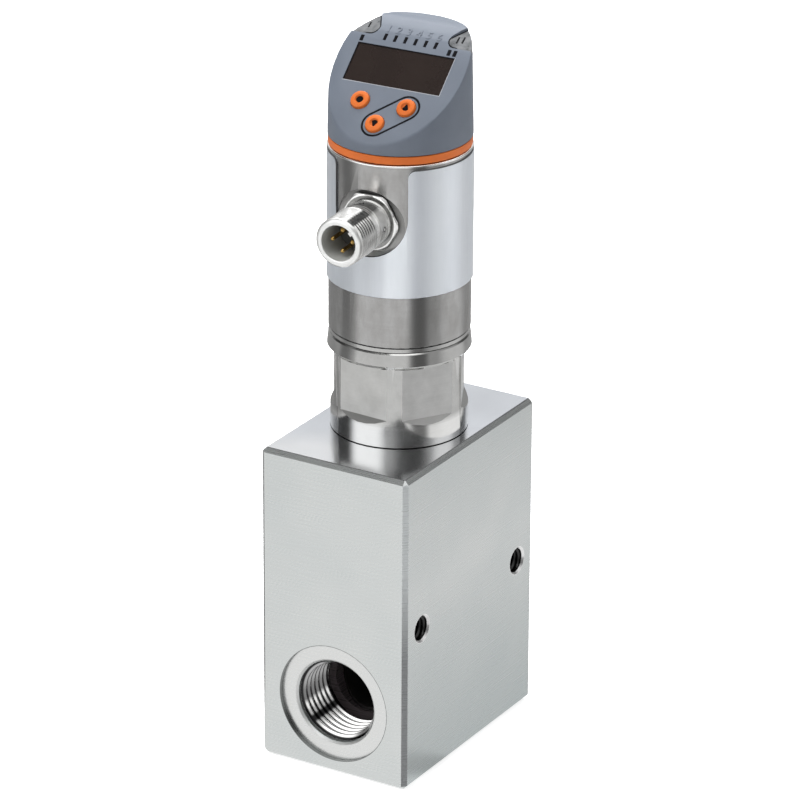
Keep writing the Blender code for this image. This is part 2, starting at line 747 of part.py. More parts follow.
def neck(shop, frames):
    obj = shop.turned("neck", neck_section(), LARGE_STEPS, "steel", parent=frames["neck"])
    outside = NECK_BODY_DIAMETER + 4 * OVERRUN
    low = COLLAR_TOP - OVERRUN
    around = shop.rod("neck_flats_cutter", outside, low, FLANGE_BASE, MEDIUM_STEPS, parent=frames["neck"])
    cut(around, neck_hexagon(shop, frames))
    cut(obj, around)


def seal_ring(shop, name, outer_radius, wire, height):
    """A rubber ring of round section, whose outer side is at the given radius."""
    section = arc((outer_radius - wire / 2, height), wire / 2, math.pi, -0.75 * math.pi, 8)
    shop.turned(name, section, MEDIUM_STEPS, "rubber")


def neck_seals(shop):
    bore = CHAMBER_DIAMETER / 2 - TRIM_GAP
    seal_ring(shop, "block_seal", bore, BLOCK_SEAL_WIRE, block_seal_height())
    bore = SPIGOT_BORE_DIAMETER / 2 - TRIM_GAP
    seal_ring(shop, "swivel_seal", bore, SWIVEL_SEAL_WIRE, swivel_seal_height())


def swivel_washer(shop):
    base = FLANGE_TOP + JOINT_GAP
    inner = NECK_SPIGOT_DIAMETER / 2 + SEAT_GAP
    section = ring_section(inner, WASHER_DIAMETER / 2, base, base + WASHER_THICKNESS)
    shop.turned("swivel_washer", section, LARGE_STEPS, "bright_steel")


def neck_circlip(shop):
    """A split ring in the neck's groove, which keeps the housing down."""
    inner = NECK_SPIGOT_DIAMETER / 2 - CIRCLIP_REACH + TRIM_GAP
    outer = SPIGOT_BORE_DIAMETER / 2 + CIRCLIP_REACH / 2
    half = CIRCLIP_OPENING / 2
    outside = arc((0, 0), outer, half, 2 * math.pi - half, MEDIUM_STEPS)
    inside = arc((0, 0), inner, 2 * math.pi - half, half, MEDIUM_STEPS)
    base = circlip_base()
    shop.plate("neck_circlip", outside + inside, base, base + CIRCLIP_THICKNESS, "spring_steel")


def sensor_board(shop):
    """Round board on the neck's pocket floor, above the magnet, with its sensor chip joined on."""
    base = POCKET_FLOOR + SEAT_GAP
    top = base + BOARD_THICKNESS
    diameter = NECK_POCKET_DIAMETER - 2 * SEAT_GAP
    board = shop.rod("sensor_board", diameter, base, top, SMALL_STEPS, "board")
    half = CHIP_SIZE / 2
    chip = shop.box("sensor_chip", (-half, -half, top - CHIP_HEIGHT / 2), (half, half, top + CHIP_HEIGHT))
    join(board, chip)


# Housing, with its label plate and cable socket


def housing_section():
    outer = HOUSING_DIAMETER / 2
    room = ROOM_DIAMETER / 2
    lip = SPIGOT_BORE_DIAMETER / 2
    edge = HOUSING_EDGE_CHAMFER
    return [
        (lip, HOUSING_TOP),
        (outer - edge, HOUSING_TOP),
        (outer, HOUSING_TOP - edge),
        (outer, HOUSING_BASE + edge),
        (outer - edge, HOUSING_BASE),
        (lip, HOUSING_BASE),
        (lip, HOUSING_BASE + HOUSING_LIP),
        (room, HOUSING_BASE + HOUSING_LIP),
        (room, HOUSING_TOP - HOUSING_LIP),
        (lip, HOUSING_TOP - HOUSING_LIP),
    ]


def socket_pad(shop, frames):
    """The welded-in pad behind the socket, trimmed to lie within the tube."""
    pad_back = SOCKET_FLOOR - SOCKET_PAD_THICKNESS
    front = HOUSING_DIAMETER / 2
    pad = shop.rod(
        "socket_pad", SOCKET_PAD_DIAMETER, pad_back, front, MEDIUM_STEPS, parent=frames["socket"]
    )
    core = shop.rod(
        "socket_pad_trim", HOUSING_DIAMETER - HOUSING_WALL, HOUSING_BASE, HOUSING_TOP, LARGE_STEPS,
        parent=frames["housing"],
    )
    combine(pad, core, "INTERSECT")
    return pad


def sensor_housing(shop, frames):
    section = housing_section()
    housing = shop.turned("sensor_housing", section, LARGE_STEPS, "steel", parent=frames["housing"])
    outside = HOUSING_DIAMETER / 2 + OVERRUN
    seat = shop.rod(
        "socket_seat_cutter", SOCKET_SEAT_DIAMETER, SOCKET_FLOOR, outside, LARGE_STEPS,
        parent=frames["socket"], at=(0, -SOCKET_SEAT_DROP, 0),
    )
    diameter = SOCKET_SPIGOT_DIAMETER + 2 * SEAT_GAP
    back = SOCKET_FLOOR - SOCKET_PAD_THICKNESS - OVERRUN
    front = SOCKET_FLOOR + OVERRUN
    hole = shop.rod("socket_hole_cutter", diameter, back, front, MEDIUM_STEPS, parent=frames["socket"])
    join(housing, socket_pad(shop, frames))
    cut(housing, seat, hole)


def label_bottom():
    return HOUSING_BASE + LABEL_BOTTOM_STEP


def label_top():
    return HOUSING_TOP - LABEL_TOP_STEP


def arch_outline():
    """The label's opening, drawn on the unrolled plate and seen from the front: x, height."""
    radius = HOUSING_DIAMETER / 2
    centre = SOCKET_HEIGHT + ARCH_RISE
    corner = LABEL_CORNER_RADIUS
    top = label_top()
    bottom = arc((0, centre), ARCH_RADIUS, -math.pi, 0, 21)
    right = arc((ARCH_RADIUS + corner, top - corner), corner, math.pi, math.pi / 2, 5)
    left = [(-x, z) for x, z in reversed(right)]
    above = top + 2 * OVERRUN
    flat = bottom + right + [(ARCH_RADIUS + corner, above), (-ARCH_RADIUS - corner, above)] + left
    return [(radius * math.sin(x / radius), z) for x, z in flat]


def label_plate(shop, frames):
    inner = HOUSING_DIAMETER / 2 + TRIM_GAP
    section = ring_section(inner, inner + LABEL_THICKNESS, label_bottom(), label_top())
    plate = shop.turned("label_plate", section, LARGE_STEPS, "label_steel", parent=frames["housing"])
    reach = HOUSING_DIAMETER / 2 + 2 * OVERRUN
    arch = shop.plate(
        "label_arch_cutter", arch_outline(), ARCH_RADIUS / 2, reach,
        parent=frames["housing"], turn=(QUARTER_TURN, 0, 0),
    )
    cut(plate, arch)


def socket_section():
    """Shell of the cable socket, from its tip back to its inner end: (radius, distance)."""
    bore = SOCKET_BORE_DIAMETER / 2
    thread = SOCKET_THREAD_DIAMETER / 2
    neck_radius = SOCKET_NECK_DIAMETER / 2
    spigot = SOCKET_SPIGOT_DIAMETER / 2
    thread_end = SOCKET_TIP - SOCKET_THREAD_LENGTH
    edge = SOCKET_TIP_CHAMFER
    back = SOCKET_FLOOR - SOCKET_PAD_THICKNESS - LOCKNUT_THICKNESS - SOCKET_SPIGOT_END
    return [
        (bore, SOCKET_TIP - edge / 2),
        (bore + edge / 2, SOCKET_TIP),
        (thread - edge, SOCKET_TIP),
        (thread, SOCKET_TIP - edge),
        (thread, thread_end + edge),
        (neck_radius, thread_end),
        (neck_radius, SOCKET_NUT_FACE - SOCKET_SPIGOT_SINK),
        (spigot, SOCKET_NUT_FACE - SOCKET_SPIGOT_SINK),
        (spigot, back),
        (bore, back),
    ]


def socket_nut(shop, frames):
    """Hexagon of the shell, with its front corners turned off."""
    corners = SOCKET_NUT_ACROSS_FLATS / math.cos(math.pi / HEX_SIDES)
    base = SOCKET_FLOOR + GASKET_THICKNESS + 2 * TRIM_GAP
    hexagon = shop.rod(
        "socket_nut", corners, base, SOCKET_NUT_FACE, HEX_SIDES,
        parent=frames["socket"], turn=(0, 0, SOCKET_NUT_TURN),
    )
    widest = SOCKET_NUT_CORNER_DIAMETER / 2
    cone = [
        (0, SOCKET_NUT_FACE),
        (SOCKET_NUT_ACROSS_FLATS / 2, SOCKET_NUT_FACE),
        (widest, SOCKET_NUT_FACE - SOCKET_TIP_CHAMFER),
        (widest, base - OVERRUN),
        (0, base - OVERRUN),
    ]
    trim = shop.turned("socket_nut_trim", cone, MEDIUM_STEPS, parent=frames["socket"])
    combine(hexagon, trim, "INTERSECT")
    inside = SOCKET_NECK_DIAMETER - 2 * SEAT_GAP
    top = SOCKET_NUT_FACE + OVERRUN
    bore = shop.rod("socket_nut_bore", inside, base - OVERRUN, top, MEDIUM_STEPS, parent=frames["socket"])
    cut(hexagon, bore)
    return hexagon


def socket_key(shop, frames):
    """The rib in the mouth that lets a plug enter one way round."""
    bore = SOCKET_BORE_DIAMETER / 2
    low = (bore - KEY_DEPTH, -KEY_WIDTH / 2, SOCKET_TIP - SOCKET_RECESS + 2 * SEAT_GAP)
    high = (bore + KEY_DEPTH, KEY_WIDTH / 2, SOCKET_TIP - SOCKET_TIP_CHAMFER)
    return shop.box("socket_key", low, high, parent=frames["socket"], turn=(0, 0, KEY_ANGLE))


def socket_shell(shop, frames):
    section = socket_section()
    shell = shop.turned("socket_shell", section, MEDIUM_STEPS, "bright_steel", parent=frames["socket"])
    join(shell, socket_nut(shop, frames), socket_key(shop, frames))


def socket_gasket(shop, frames):
    inner = SOCKET_SPIGOT_DIAMETER / 2 + TRIM_GAP
    base = SOCKET_FLOOR + TRIM_GAP
    section = ring_section(inner, SOCKET_NUT_ACROSS_FLATS / 2 - TRIM_GAP, base, base + GASKET_THICKNESS)
    shop.turned("socket_gasket", section, MEDIUM_STEPS, "rubber", parent=frames["socket"])


def socket_locknut(shop, frames):
    top = SOCKET_FLOOR - SOCKET_PAD_THICKNESS - JOINT_GAP
    corners = LOCKNUT_ACROSS_FLATS / math.cos(math.pi / HEX_SIDES)
    base = top - LOCKNUT_THICKNESS
    nut = shop.rod(
        "socket_locknut", corners, base, top, HEX_SIDES, "bright_steel", parent=frames["socket"]
    )
    inside = SOCKET_SPIGOT_DIAMETER + 2 * TRIM_GAP
    low, high = base - OVERRUN, top + OVERRUN
    bore = shop.rod("locknut_bore_cutter", inside, low, high, MEDIUM_STEPS, parent=frames["socket"])
    cut(nut, bore)


def pin_places():
    radius = PIN_CIRCLE / 2
    return [(radius * math.cos(a), radius * math.sin(a)) for a in (math.pi / 2 * i for i in range(4))]


def socket_insert(shop, frames):
    """Moulded carrier of the four contacts, with a keyway for the shell's rib above it."""
    diameter = SOCKET_BORE_DIAMETER - 2 * TRIM_GAP
    front = SOCKET_TIP - SOCKET_RECESS
    back = SOCKET_FLOOR - SOCKET_PAD_THICKNESS - LOCKNUT_THICKNESS - SOCKET_INSERT_END
    insert = shop.rod(
        "socket_insert", diameter, back, front, MEDIUM_STEPS, "socket_plastic", parent=frames["socket"]
    )
    inside = PIN_DIAMETER + 2 * TRIM_GAP
    low, high = back - OVERRUN, front + OVERRUN
    for i, (x, y) in enumerate(pin_places()):
        name = f"pin_hole_cutter_{i + 1}"
        cut(insert, shop.rod(name, inside, low, high, PIN_STEPS, parent=frames["socket"], at=(x, y, 0)))


def contact_pins(shop, frames):
    """Four gold pins from near the socket's mouth back to the main board."""
    radius = PIN_DIAMETER / 2
    tip = SOCKET_TIP - PIN_RECESS
    back = MAIN_BOARD_OFFSET + SEAT_GAP
    edge = SMALL_EDGE
    section = [(0, tip), (radius - edge, tip), (radius, tip - edge), (radius, back), (0, back)]
    for i, (x, y) in enumerate(pin_places()):
        name = f"contact_pin_{i + 1}"
        shop.turned(name, section, PIN_STEPS, "gold", parent=frames["socket"], at=(x, y, 0))


def main_board(shop, frames):
    """Upright board behind the socket, as wide as the tube lets it be."""
    inside = ROOM_DIAMETER / 2 - SEAT_GAP
    half = math.sqrt(inside**2 - MAIN_BOARD_OFFSET**2)
    low = (-half, -MAIN_BOARD_OFFSET, SPIGOT_TOP + MAIN_BOARD_MARGIN)
    high = (half, BOARD_THICKNESS - MAIN_BOARD_OFFSET, snap_tube_bottom() - MAIN_BOARD_MARGIN)
    shop.box("main_board", low, high, "board", parent=frames["housing"])


# Orange ring between housing and head


def orange_ring(shop, frames):
    outer = RING_DIAMETER / 2
    edge = TRIM_GAP
    top = RING_BASE + RING_HEIGHT
    section = [
        (outer - RING_WIDTH, top),
        (outer - edge, top),
        (outer, top - edge),
        (outer, RING_BASE + edge),
        (outer - edge, RING_BASE),
        (outer - RING_WIDTH, RING_BASE),
    ]
    shop.turned("orange_ring", section, LARGE_STEPS, "orange_plastic", parent=frames["housing"])


# Display head


def snap_tube_bottom():
    return HOUSING_TOP - HOUSING_LIP - SEAT_GAP - SNAP_TUBE_END


def head_radius(height):
    """Outer radius of the moulded head, which draws in a little above its straight foot."""
    rise = max(height - HEAD_BASE - HEAD_STRAIGHT, 0)
    return HEAD_DIAMETER / 2 - rise * math.tan(HEAD_DRAFT)


def over_head_outline(offset):
    """Everything above the face and the dome over it, seen from the right: (depth, height).

    A positive offset lies inside the head, as its inner wall does.
    """
    sine, cosine = math.sin(FACE_TILT), math.cos(FACE_TILT)
    far = HEAD_DIAMETER
    front = (-far * cosine + offset * sine, FACE_HEIGHT - far * sine - offset * cosine)
    tangent_y = DOME_START
    tangent_z = FACE_HEIGHT + DOME_START * sine / cosine
    centre = (tangent_y + DOME_RADIUS * sine, tangent_z - DOME_RADIUS * cosine)
    start = math.pi / 2 + FACE_TILT
    dome = arc(centre, DOME_RADIUS - offset, start, math.pi / 6, 12)
    top = FACE_HEIGHT + far
    return [front] + dome + [(far, dome[-1][1]), (far, top), (front[0], top)]


def over_head_cutter(shop, name, frames, offset):
    """That outline, run across the head from side to side."""
    half = HEAD_DIAMETER
    cutter = shop.plate(name, over_head_outline(offset), -half, half, parent=frames["head"])
    cutter.rotation_euler = (QUARTER_TURN, 0, QUARTER_TURN)
    return cutter


def head_outer_section():
    """Foot, tube below it with a snap bead, and drawn-in wall, top to bottom."""
    tube = HEAD_TUBE_DIAMETER / 2
    bottom = snap_tube_bottom()
    bead = bottom + SNAP_BEAD_HEIGHT
    edge = TRIM_GAP
    top = FACE_HEIGHT + DOME_RADIUS / 2
    base = HEAD_DIAMETER / 2
    return [
        (0, top),
        (head_radius(top), top),
        (base, HEAD_BASE + HEAD_STRAIGHT),
        (base, HEAD_BASE + edge),
        (base - edge, HEAD_BASE),
        (tube, HEAD_BASE),
        (tube, bead + SNAP_BEAD_HEIGHT / 2),
        (tube + SNAP_BEAD + SEAT_GAP, bead),
        (tube, bottom),
        (0, bottom),
    ]


def head_room_cutter(shop, frames):
    """The room inside the head, open at the tube's lower end, less the blocks under the two windows."""
    tube = HEAD_TUBE_DIAMETER / 2 - SNAP_TUBE_WALL
    web_top = HEAD_BASE + HEAD_WEB
    top = FACE_HEIGHT + DOME_RADIUS / 2
    section = [
        (0, top),
        (head_radius(top) - HEAD_WALL, top),
        (head_radius(web_top) - HEAD_WALL, web_top),
        (tube, web_top),
        (tube, snap_tube_bottom() - OVERRUN),
        (0, snap_tube_bottom() - OVERRUN),
    ]
    room = shop.turned("head_room_cutter", section, LARGE_STEPS, parent=frames["head"])
    cut(room, over_head_cutter(shop, "head_inner_top", frames, HEAD_WALL))
    base = lens_floor() - LENS_FLOOR_WALL
    for side, name in ((1, "right"), (-1, "left")):
        outline = lens_outline(-LENS_FLOOR_WALL, side)
        block = shop.plate(f"lens_block_{name}", outline, base, top + OVERRUN, parent=frames["head"])
        cut(room, block)
    return room


def lamp_places():
    first = -(LAMP_SLOTS - 1) / 2
    return [(first + i) * LAMP_PITCH for i in range(LAMP_SLOTS)]


def button_places():
    return {
        "button_set": (-BUTTON_SIDE, BUTTON_UPPER_LINE),
        "button_up": (BUTTON_SIDE, BUTTON_UPPER_LINE),
        "button_down": (0, BUTTON_LOWER_LINE),
    }


def window_cutters(shop, frames):
    """The pocket that the display window lies in, and the smaller opening behind its ledge."""
    width = WINDOW_WIDTH / 2
    height = WINDOW_HEIGHT / 2
    depth = WINDOW_THICKNESS + 2 * TRIM_GAP
    above = 2 * OVERRUN
    pocket = shop.box(
        "window_pocket_cutter",
        (-width - TRIM_GAP, WINDOW_CENTRE - height - TRIM_GAP, -depth),
        (width + TRIM_GAP, WINDOW_CENTRE + height + TRIM_GAP, above),
        parent=frames["face"],
    )
    opening = shop.box(
        "window_opening_cutter",
        (-width + WINDOW_LEDGE, WINDOW_CENTRE - height + WINDOW_LEDGE, -2 * HEAD_WALL),
        (width - WINDOW_LEDGE, WINDOW_CENTRE + height - WINDOW_LEDGE, above),
        parent=frames["face"],
    )
    return [pocket, opening]


def face_cutters(shop, frames):
    cutters = window_cutters(shop, frames)
    for i, x in enumerate(lamp_places()):
        low = (x - LAMP_WIDTH / 2, LAMP_LINE - LAMP_LENGTH / 2, -2 * HEAD_WALL)
        high = (x + LAMP_WIDTH / 2, LAMP_LINE + LAMP_LENGTH / 2, 2 * OVERRUN)
        cutters.append(shop.box(f"lamp_slot_cutter_{i + 1}", low, high, parent=frames["face"]))
    for name, (x, y) in button_places().items():
        diameter = BUTTON_DIAMETER + 2 * TRIM_GAP
        cutters.append(
            shop.rod(
                f"{name}_hole_cutter", diameter, -2 * HEAD_WALL, 2 * OVERRUN, SMALL_STEPS,
                parent=frames["face"], at=(x, y, 0),
            )
        )
    return cutters


def lens_outline(inset, side):
    """Plan of a status window: level front edge, round inner corner, slanting inner edge."""
    radius = LENS_CORNER_RADIUS - inset
    centre = (LENS_CORNER_X, LENS_CORNER_Y)
    far = HEAD_DIAMETER
    direction = (math.cos(LENS_SIDE_ANGLE), math.sin(LENS_SIDE_ANGLE))
    corner = arc(centre, radius, 1.5 * math.pi, LENS_SIDE_ANGLE + math.pi / 2, 7)
    end = (corner[-1][0] + far * direction[0], corner[-1][1] + far * direction[1])
    outline = [(end[0], corner[0][1])] + corner + [end]
    return [(side * x, y) for x, y in outline]


def lens_floor():
    """Height of the pocket that each status window lies in."""
    return FACE_HEIGHT + LENS_FLOOR_RISE


def lens_pockets(shop, frames):
    """For each window, the corner cut away and the hole for its light peg."""
    cutters = []
    above = FACE_HEIGHT + HEAD_DIAMETER
    below = lens_floor() - LENS_FLOOR_WALL - OVERRUN
    diameter = LENS_PEG_DIAMETER + 2 * TRIM_GAP
    for side, name in ((1, "right"), (-1, "left")):
        outline = lens_outline(0, side)
        pocket = shop.plate(f"lens_cutter_{name}", outline, lens_floor(), above, parent=frames["head"])
        hole = shop.rod(
            f"lens_peg_cutter_{name}", diameter, below, lens_floor() + OVERRUN, PIN_STEPS,
            parent=frames["head"], at=(side * LENS_PEG_X, LENS_PEG_Y, 0),
        )
        cutters += [pocket, hole]
    return cutters


def display_head(shop, frames):
    """Thin moulded shell: round foot, inclined face, dome over it and a snap tube below."""
    section = head_outer_section()
    head = shop.turned("display_head", section, LARGE_STEPS, "grey_plastic", parent=frames["head"])
    cut(head, over_head_cutter(shop, "head_outer_top", frames, 0))
    round_upper_edges(head, HEAD_EDGE_ROUND, HEAD_BASE + OVERRUN)
    cut(head, head_room_cutter(shop, frames))
    cut(head, *lens_pockets(shop, frames))
    cut(head, *face_cutters(shop, frames))


def display_window(shop, frames):
    width = WINDOW_WIDTH / 2
    height = WINDOW_HEIGHT / 2
    low = (-width, WINDOW_CENTRE - height, -WINDOW_THICKNESS - TRIM_GAP)
    high = (width, WINDOW_CENTRE + height, -TRIM_GAP)
    shop.box("display_window", low, high, "smoked_window", parent=frames["face"])


def display_module(shop, frames):
    """The number display behind the window, standing on the board."""
    low = (-MODULE_WIDTH / 2, WINDOW_CENTRE - MODULE_HEIGHT / 2, SEAT_GAP - HEAD_BOARD_DEPTH)
    high = (MODULE_WIDTH / 2, WINDOW_CENTRE + MODULE_HEIGHT / 2, -HEAD_WALL - SEAT_GAP)
    shop.box("display_module", low, high, "black_plastic", parent=frames["face"])


def light_bar(shop, frames):
    """One clear moulding whose fingers bring the lamps' light up into the six slots."""
    half = (LAMP_SLOTS - 1) / 2 * LAMP_PITCH + LAMP_WIDTH
    foot = LAMP_LENGTH / 2 - TRIM_GAP
    low = (-half, LAMP_LINE - foot, SEAT_GAP - HEAD_BOARD_DEPTH)
    high = (half, LAMP_LINE + foot, -HEAD_WALL - 2 * SEAT_GAP)
    bar = shop.box("light_bar", low, high, "lens_plastic", parent=frames["face"])
    for i, x in enumerate(lamp_places()):
        reach = LAMP_WIDTH / 2 - TRIM_GAP
        finger_low = (x - reach, LAMP_LINE - foot, -HEAD_WALL - 3 * SEAT_GAP)
        finger = shop.box(
            f"light_finger_{i + 1}", finger_low, (x + reach, LAMP_LINE + foot - TRIM_GAP, -SEAT_GAP),
            parent=frames["face"],
        )
        join(bar, finger)


def display_board(shop, frames):
    """Board below the face, small enough to pass up through the snap tube."""
    fit = HEAD_TUBE_DIAMETER - 2 * SNAP_TUBE_WALL - 2 * SEAT_GAP
    half = HEAD_DIAMETER / 2
    low = (-half, -2 * half, -HEAD_BOARD_DEPTH - BOARD_THICKNESS)
    high = (half, 2 * half, -HEAD_BOARD_DEPTH)
    board = shop.box("display_board", low, high, "board", parent=frames["face"])
    bottom, top = snap_tube_bottom(), FACE_HEIGHT + half
    trim = shop.rod("display_board_trim", fit, bottom, top, MEDIUM_STEPS, parent=frames["head"])
    combine(board, trim, "INTERSECT")


def key_switches(shop, frames):
    """A low switch under each button, with its round key."""
    base = SEAT_GAP - HEAD_BOARD_DEPTH
    half = SWITCH_SIZE / 2
    for name, (x, y) in button_places().items():
        switch = shop.box(
            name.replace("button", "switch"), (-half, -half, base), (half, half, base + SWITCH_HEIGHT),
            "black_plastic", parent=frames["face"], at=(x, y, 0),
        )
        key = shop.rod(
            f"{name}_key", BUTTON_STEM_DIAMETER - 2 * SEAT_GAP, base + SWITCH_HEIGHT / 2,
            base + SWITCH_HEIGHT + SWITCH_KEY_HEIGHT, PIN_STEPS, parent=frames["face"], at=(x, y, 0),
        )
        join(switch, key)


def button_section():
    """Dished cap, flange that holds it in from below, and stem to the switch."""
    radius = BUTTON_DIAMETER / 2
    flange = BUTTON_FLANGE_DIAMETER / 2
    stem = BUTTON_STEM_DIAMETER / 2
    edge = BUTTON_EDGE
    dish = radius - 2 * edge
    flange_top = -HEAD_WALL - SEAT_GAP
    flange_base = flange_top - BUTTON_FLANGE_THICKNESS
    switch_top = SEAT_GAP - HEAD_BOARD_DEPTH + SWITCH_HEIGHT + SWITCH_KEY_HEIGHT
    stem_base = switch_top + BUTTON_TRAVEL + TRIM_GAP
    floor = BUTTON_RISE - BUTTON_DISH
    cap = [(0, floor), (dish - edge / 2, floor), (dish, BUTTON_RISE)]
    rim = arc((radius - edge, BUTTON_RISE - edge), edge, math.pi / 2, 0, 3)
    skirt = [(radius, flange_top), (flange, flange_top), (flange, flange_base)]
    return cap + rim + skirt + [(stem, flange_base), (stem, stem_base), (0, stem_base)]


def buttons(shop, frames):
    for name, (x, y) in button_places().items():
        shop.turned(
            name, button_section(), SMALL_STEPS, "orange_plastic", parent=frames["face"], at=(x, y, 0)
        )


def lens_slope_cutter(shop, name, frames, side):
    """Everything above a status window's sloping top."""
    far = HEAD_DIAMETER
    pivot_y = LENS_CORNER_Y
    dome = FACE_HEIGHT + dome_rise(pivot_y) - LENS_DROP
    inner_x = LENS_CORNER_X - LENS_CORNER_RADIUS
    cutter = shop.box(name, (-far, -far, 0), (far, far, far), parent=frames["head"])
    cutter.location = (side * inner_x, pivot_y, dome)
    cutter.rotation_euler = (LENS_TILT_FORWARD, side * LENS_TILT_OUT, 0)
    return cutter


def dome_rise(depth):
    """Height of the dome over the face's crossing with the axis, at a distance behind the axis."""
    sine, cosine = math.sin(FACE_TILT), math.cos(FACE_TILT)
    behind = DOME_START + DOME_RADIUS * sine - depth
    centre = DOME_START * sine / cosine - DOME_RADIUS * cosine
    return centre + math.sqrt(DOME_RADIUS**2 - behind**2)


def status_lenses(shop, frames):
    """The two corner windows, each with a peg that takes up the light from the board."""
    floor = lens_floor() + TRIM_GAP
    top = FACE_HEIGHT + DOME_RADIUS / 2
    inset = TRIM_GAP
    wall = [
        (0, top),
        (head_radius(top) - inset, top),
        (HEAD_DIAMETER / 2 - inset, HEAD_BASE + HEAD_STRAIGHT),
        (HEAD_DIAMETER / 2 - inset, HEAD_BASE),
        (0, HEAD_BASE),
    ]
    for side, name in ((1, "right"), (-1, "left")):
        outline = lens_outline(inset, side)
        lens = shop.plate(
            f"status_lens_{name}", outline, floor, top, "lens_plastic", parent=frames["head"]
        )
        limit = shop.turned(f"lens_wall_{name}", wall, LARGE_STEPS, parent=frames["head"])
        combine(lens, limit, "INTERSECT")
        cut(lens, over_head_cutter(shop, f"lens_dome_{name}", frames, LENS_DROP))
        cut(lens, lens_slope_cutter(shop, f"lens_slope_{name}", frames, side))
        peg = shop.rod(
            f"lens_peg_{name}", LENS_PEG_DIAMETER, floor - LENS_PEG_LENGTH, floor + LENS_PEG_ROOT, PIN_STEPS,
            parent=frames["head"], at=(side * LENS_PEG_X, LENS_PEG_Y, 0),
        )
        join(lens, peg)


# Assembly


def make_frames(group):
    """Empties on the joints' axes and on the faces that pieces are placed from."""
    housing = new_frame("housing_axis", group, turn=(0, 0, HOUSING_TURN))
    head = new_frame("head_axis", group, turn=(0, 0, HEAD_TURN))
    front = (0, -BLOCK_DEPTH / 2, PORT_HEIGHT)
    rear = (0, BLOCK_DEPTH / 2, PORT_HEIGHT)
    return {
        "housing": housing,
        "head": head,
        "neck": new_frame("neck_axis", group, turn=(0, 0, NECK_TURN)),
        "inlet": new_frame("inlet_axis", group, at=front, turn=(QUARTER_TURN, 0, 0)),
        "outlet": new_frame("outlet_axis", group, at=rear, turn=(-QUARTER_TURN, 0, 0)),
        "socket": new_frame("socket_axis", group, housing, (0, 0, SOCKET_HEIGHT), (QUARTER_TURN, 0, 0)),
        "face": new_frame("face_plane", group, head, (0, 0, FACE_HEIGHT), (FACE_TILT, 0, 0)),
    }


def build():
    clear_scene()
    parts = new_group("flow_sensor")
    cutters = new_group("cutters", helper=True)
    shop = Workshop(parts, cutters)
    frames = make_frames(parts)
    flow_block(shop, frames)
    flow_insert(shop, frames)
    valve_seat(shop)
    piston(shop)
    piston_magnet(shop)
    piston_spring(shop)
    guide_bush(shop)
    neck(shop, frames)
    neck_seals(shop)
    swivel_washer(shop)
    neck_circlip(shop)
    sensor_board(shop)
    sensor_housing(shop, frames)
    label_plate(shop, frames)
    socket_shell(shop, frames)
    socket_gasket(shop, frames)
    socket_locknut(shop, frames)
    socket_insert(shop, frames)
    contact_pins(shop, frames)
    main_board(shop, frames)
    orange_ring(shop, frames)
    display_head(shop, frames)
    display_window(shop, frames)
    display_module(shop, frames)
    light_bar(shop, frames)
    display_board(shop, frames)
    key_switches(shop, frames)
    buttons(shop, frames)
    status_lenses(shop, frames)
    finish_meshes(parts)


build()
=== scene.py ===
import math

import bmesh
import bpy
from mathutils import Matrix, Vector


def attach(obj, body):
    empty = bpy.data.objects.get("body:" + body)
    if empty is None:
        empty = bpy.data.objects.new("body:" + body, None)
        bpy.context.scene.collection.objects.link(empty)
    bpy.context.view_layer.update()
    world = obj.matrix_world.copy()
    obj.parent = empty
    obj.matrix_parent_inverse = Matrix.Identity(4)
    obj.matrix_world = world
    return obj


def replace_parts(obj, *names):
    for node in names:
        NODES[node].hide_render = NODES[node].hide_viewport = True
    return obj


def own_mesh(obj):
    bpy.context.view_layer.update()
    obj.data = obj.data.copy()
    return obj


# Looks of a flow sensor: threads, marks, finishes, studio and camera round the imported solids.
# Lengths are in millimetres until a mesh is made, and in the frame's metres from there on.

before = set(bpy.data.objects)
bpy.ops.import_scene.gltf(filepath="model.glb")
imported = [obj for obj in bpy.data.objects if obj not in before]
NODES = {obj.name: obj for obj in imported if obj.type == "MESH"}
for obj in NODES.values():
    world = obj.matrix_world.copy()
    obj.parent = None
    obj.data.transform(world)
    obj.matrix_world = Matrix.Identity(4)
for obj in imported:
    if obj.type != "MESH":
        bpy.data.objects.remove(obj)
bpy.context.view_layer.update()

MM = 0.001

# Places that the source of the solids gives
BLOCK_HALF_WIDTH = 20.0
BLOCK_HALF_DEPTH = 30.0
BLOCK_HEIGHT = 80.0
BLOCK_CHAMFER = 1.0
PORT_HEIGHT = 18.0
PORT_FACE_RADIUS = 14.8
FIXING_Y = 22.5
FIXING_HEIGHT = 39.7
COLLAR_TOP = 85.6
FLANGE_BASE = 100.0
HOUSING_RADIUS = 16.85
HOUSING_TOP = 151.0
LABEL_LOW = 118.3
LABEL_HIGH = 149.6
SOCKET_HEIGHT = 136.1
SOCKET_TIP = 31.2
SOCKET_NUT_FACE = 15.9
SOCKET_NUT_BASE = 15.05
FACE_HEIGHT = 170.0
FACE_TILT = math.radians(40.3)
BUTTON_SET = (-6.0, -11.3)
BUTTON_UP = (6.0, -11.3)
BUTTON_DOWN = (0.0, -16.7)
BUTTON_FLOOR = 0.4
LAMP_PITCH = 2.63
LAMP_LINE = 6.2
WINDOW_SIZE = (25.0, 10.15)
WINDOW_CENTRE = -1.45
DOME_START = 4.1
DOME_RADIUS = 15.8
LENS_CORNER = (10.86, 6.8)
LENS_RADIUS = 1.9
LENS_SIDE = math.radians(63.9)
LENS_REACH = 16.3

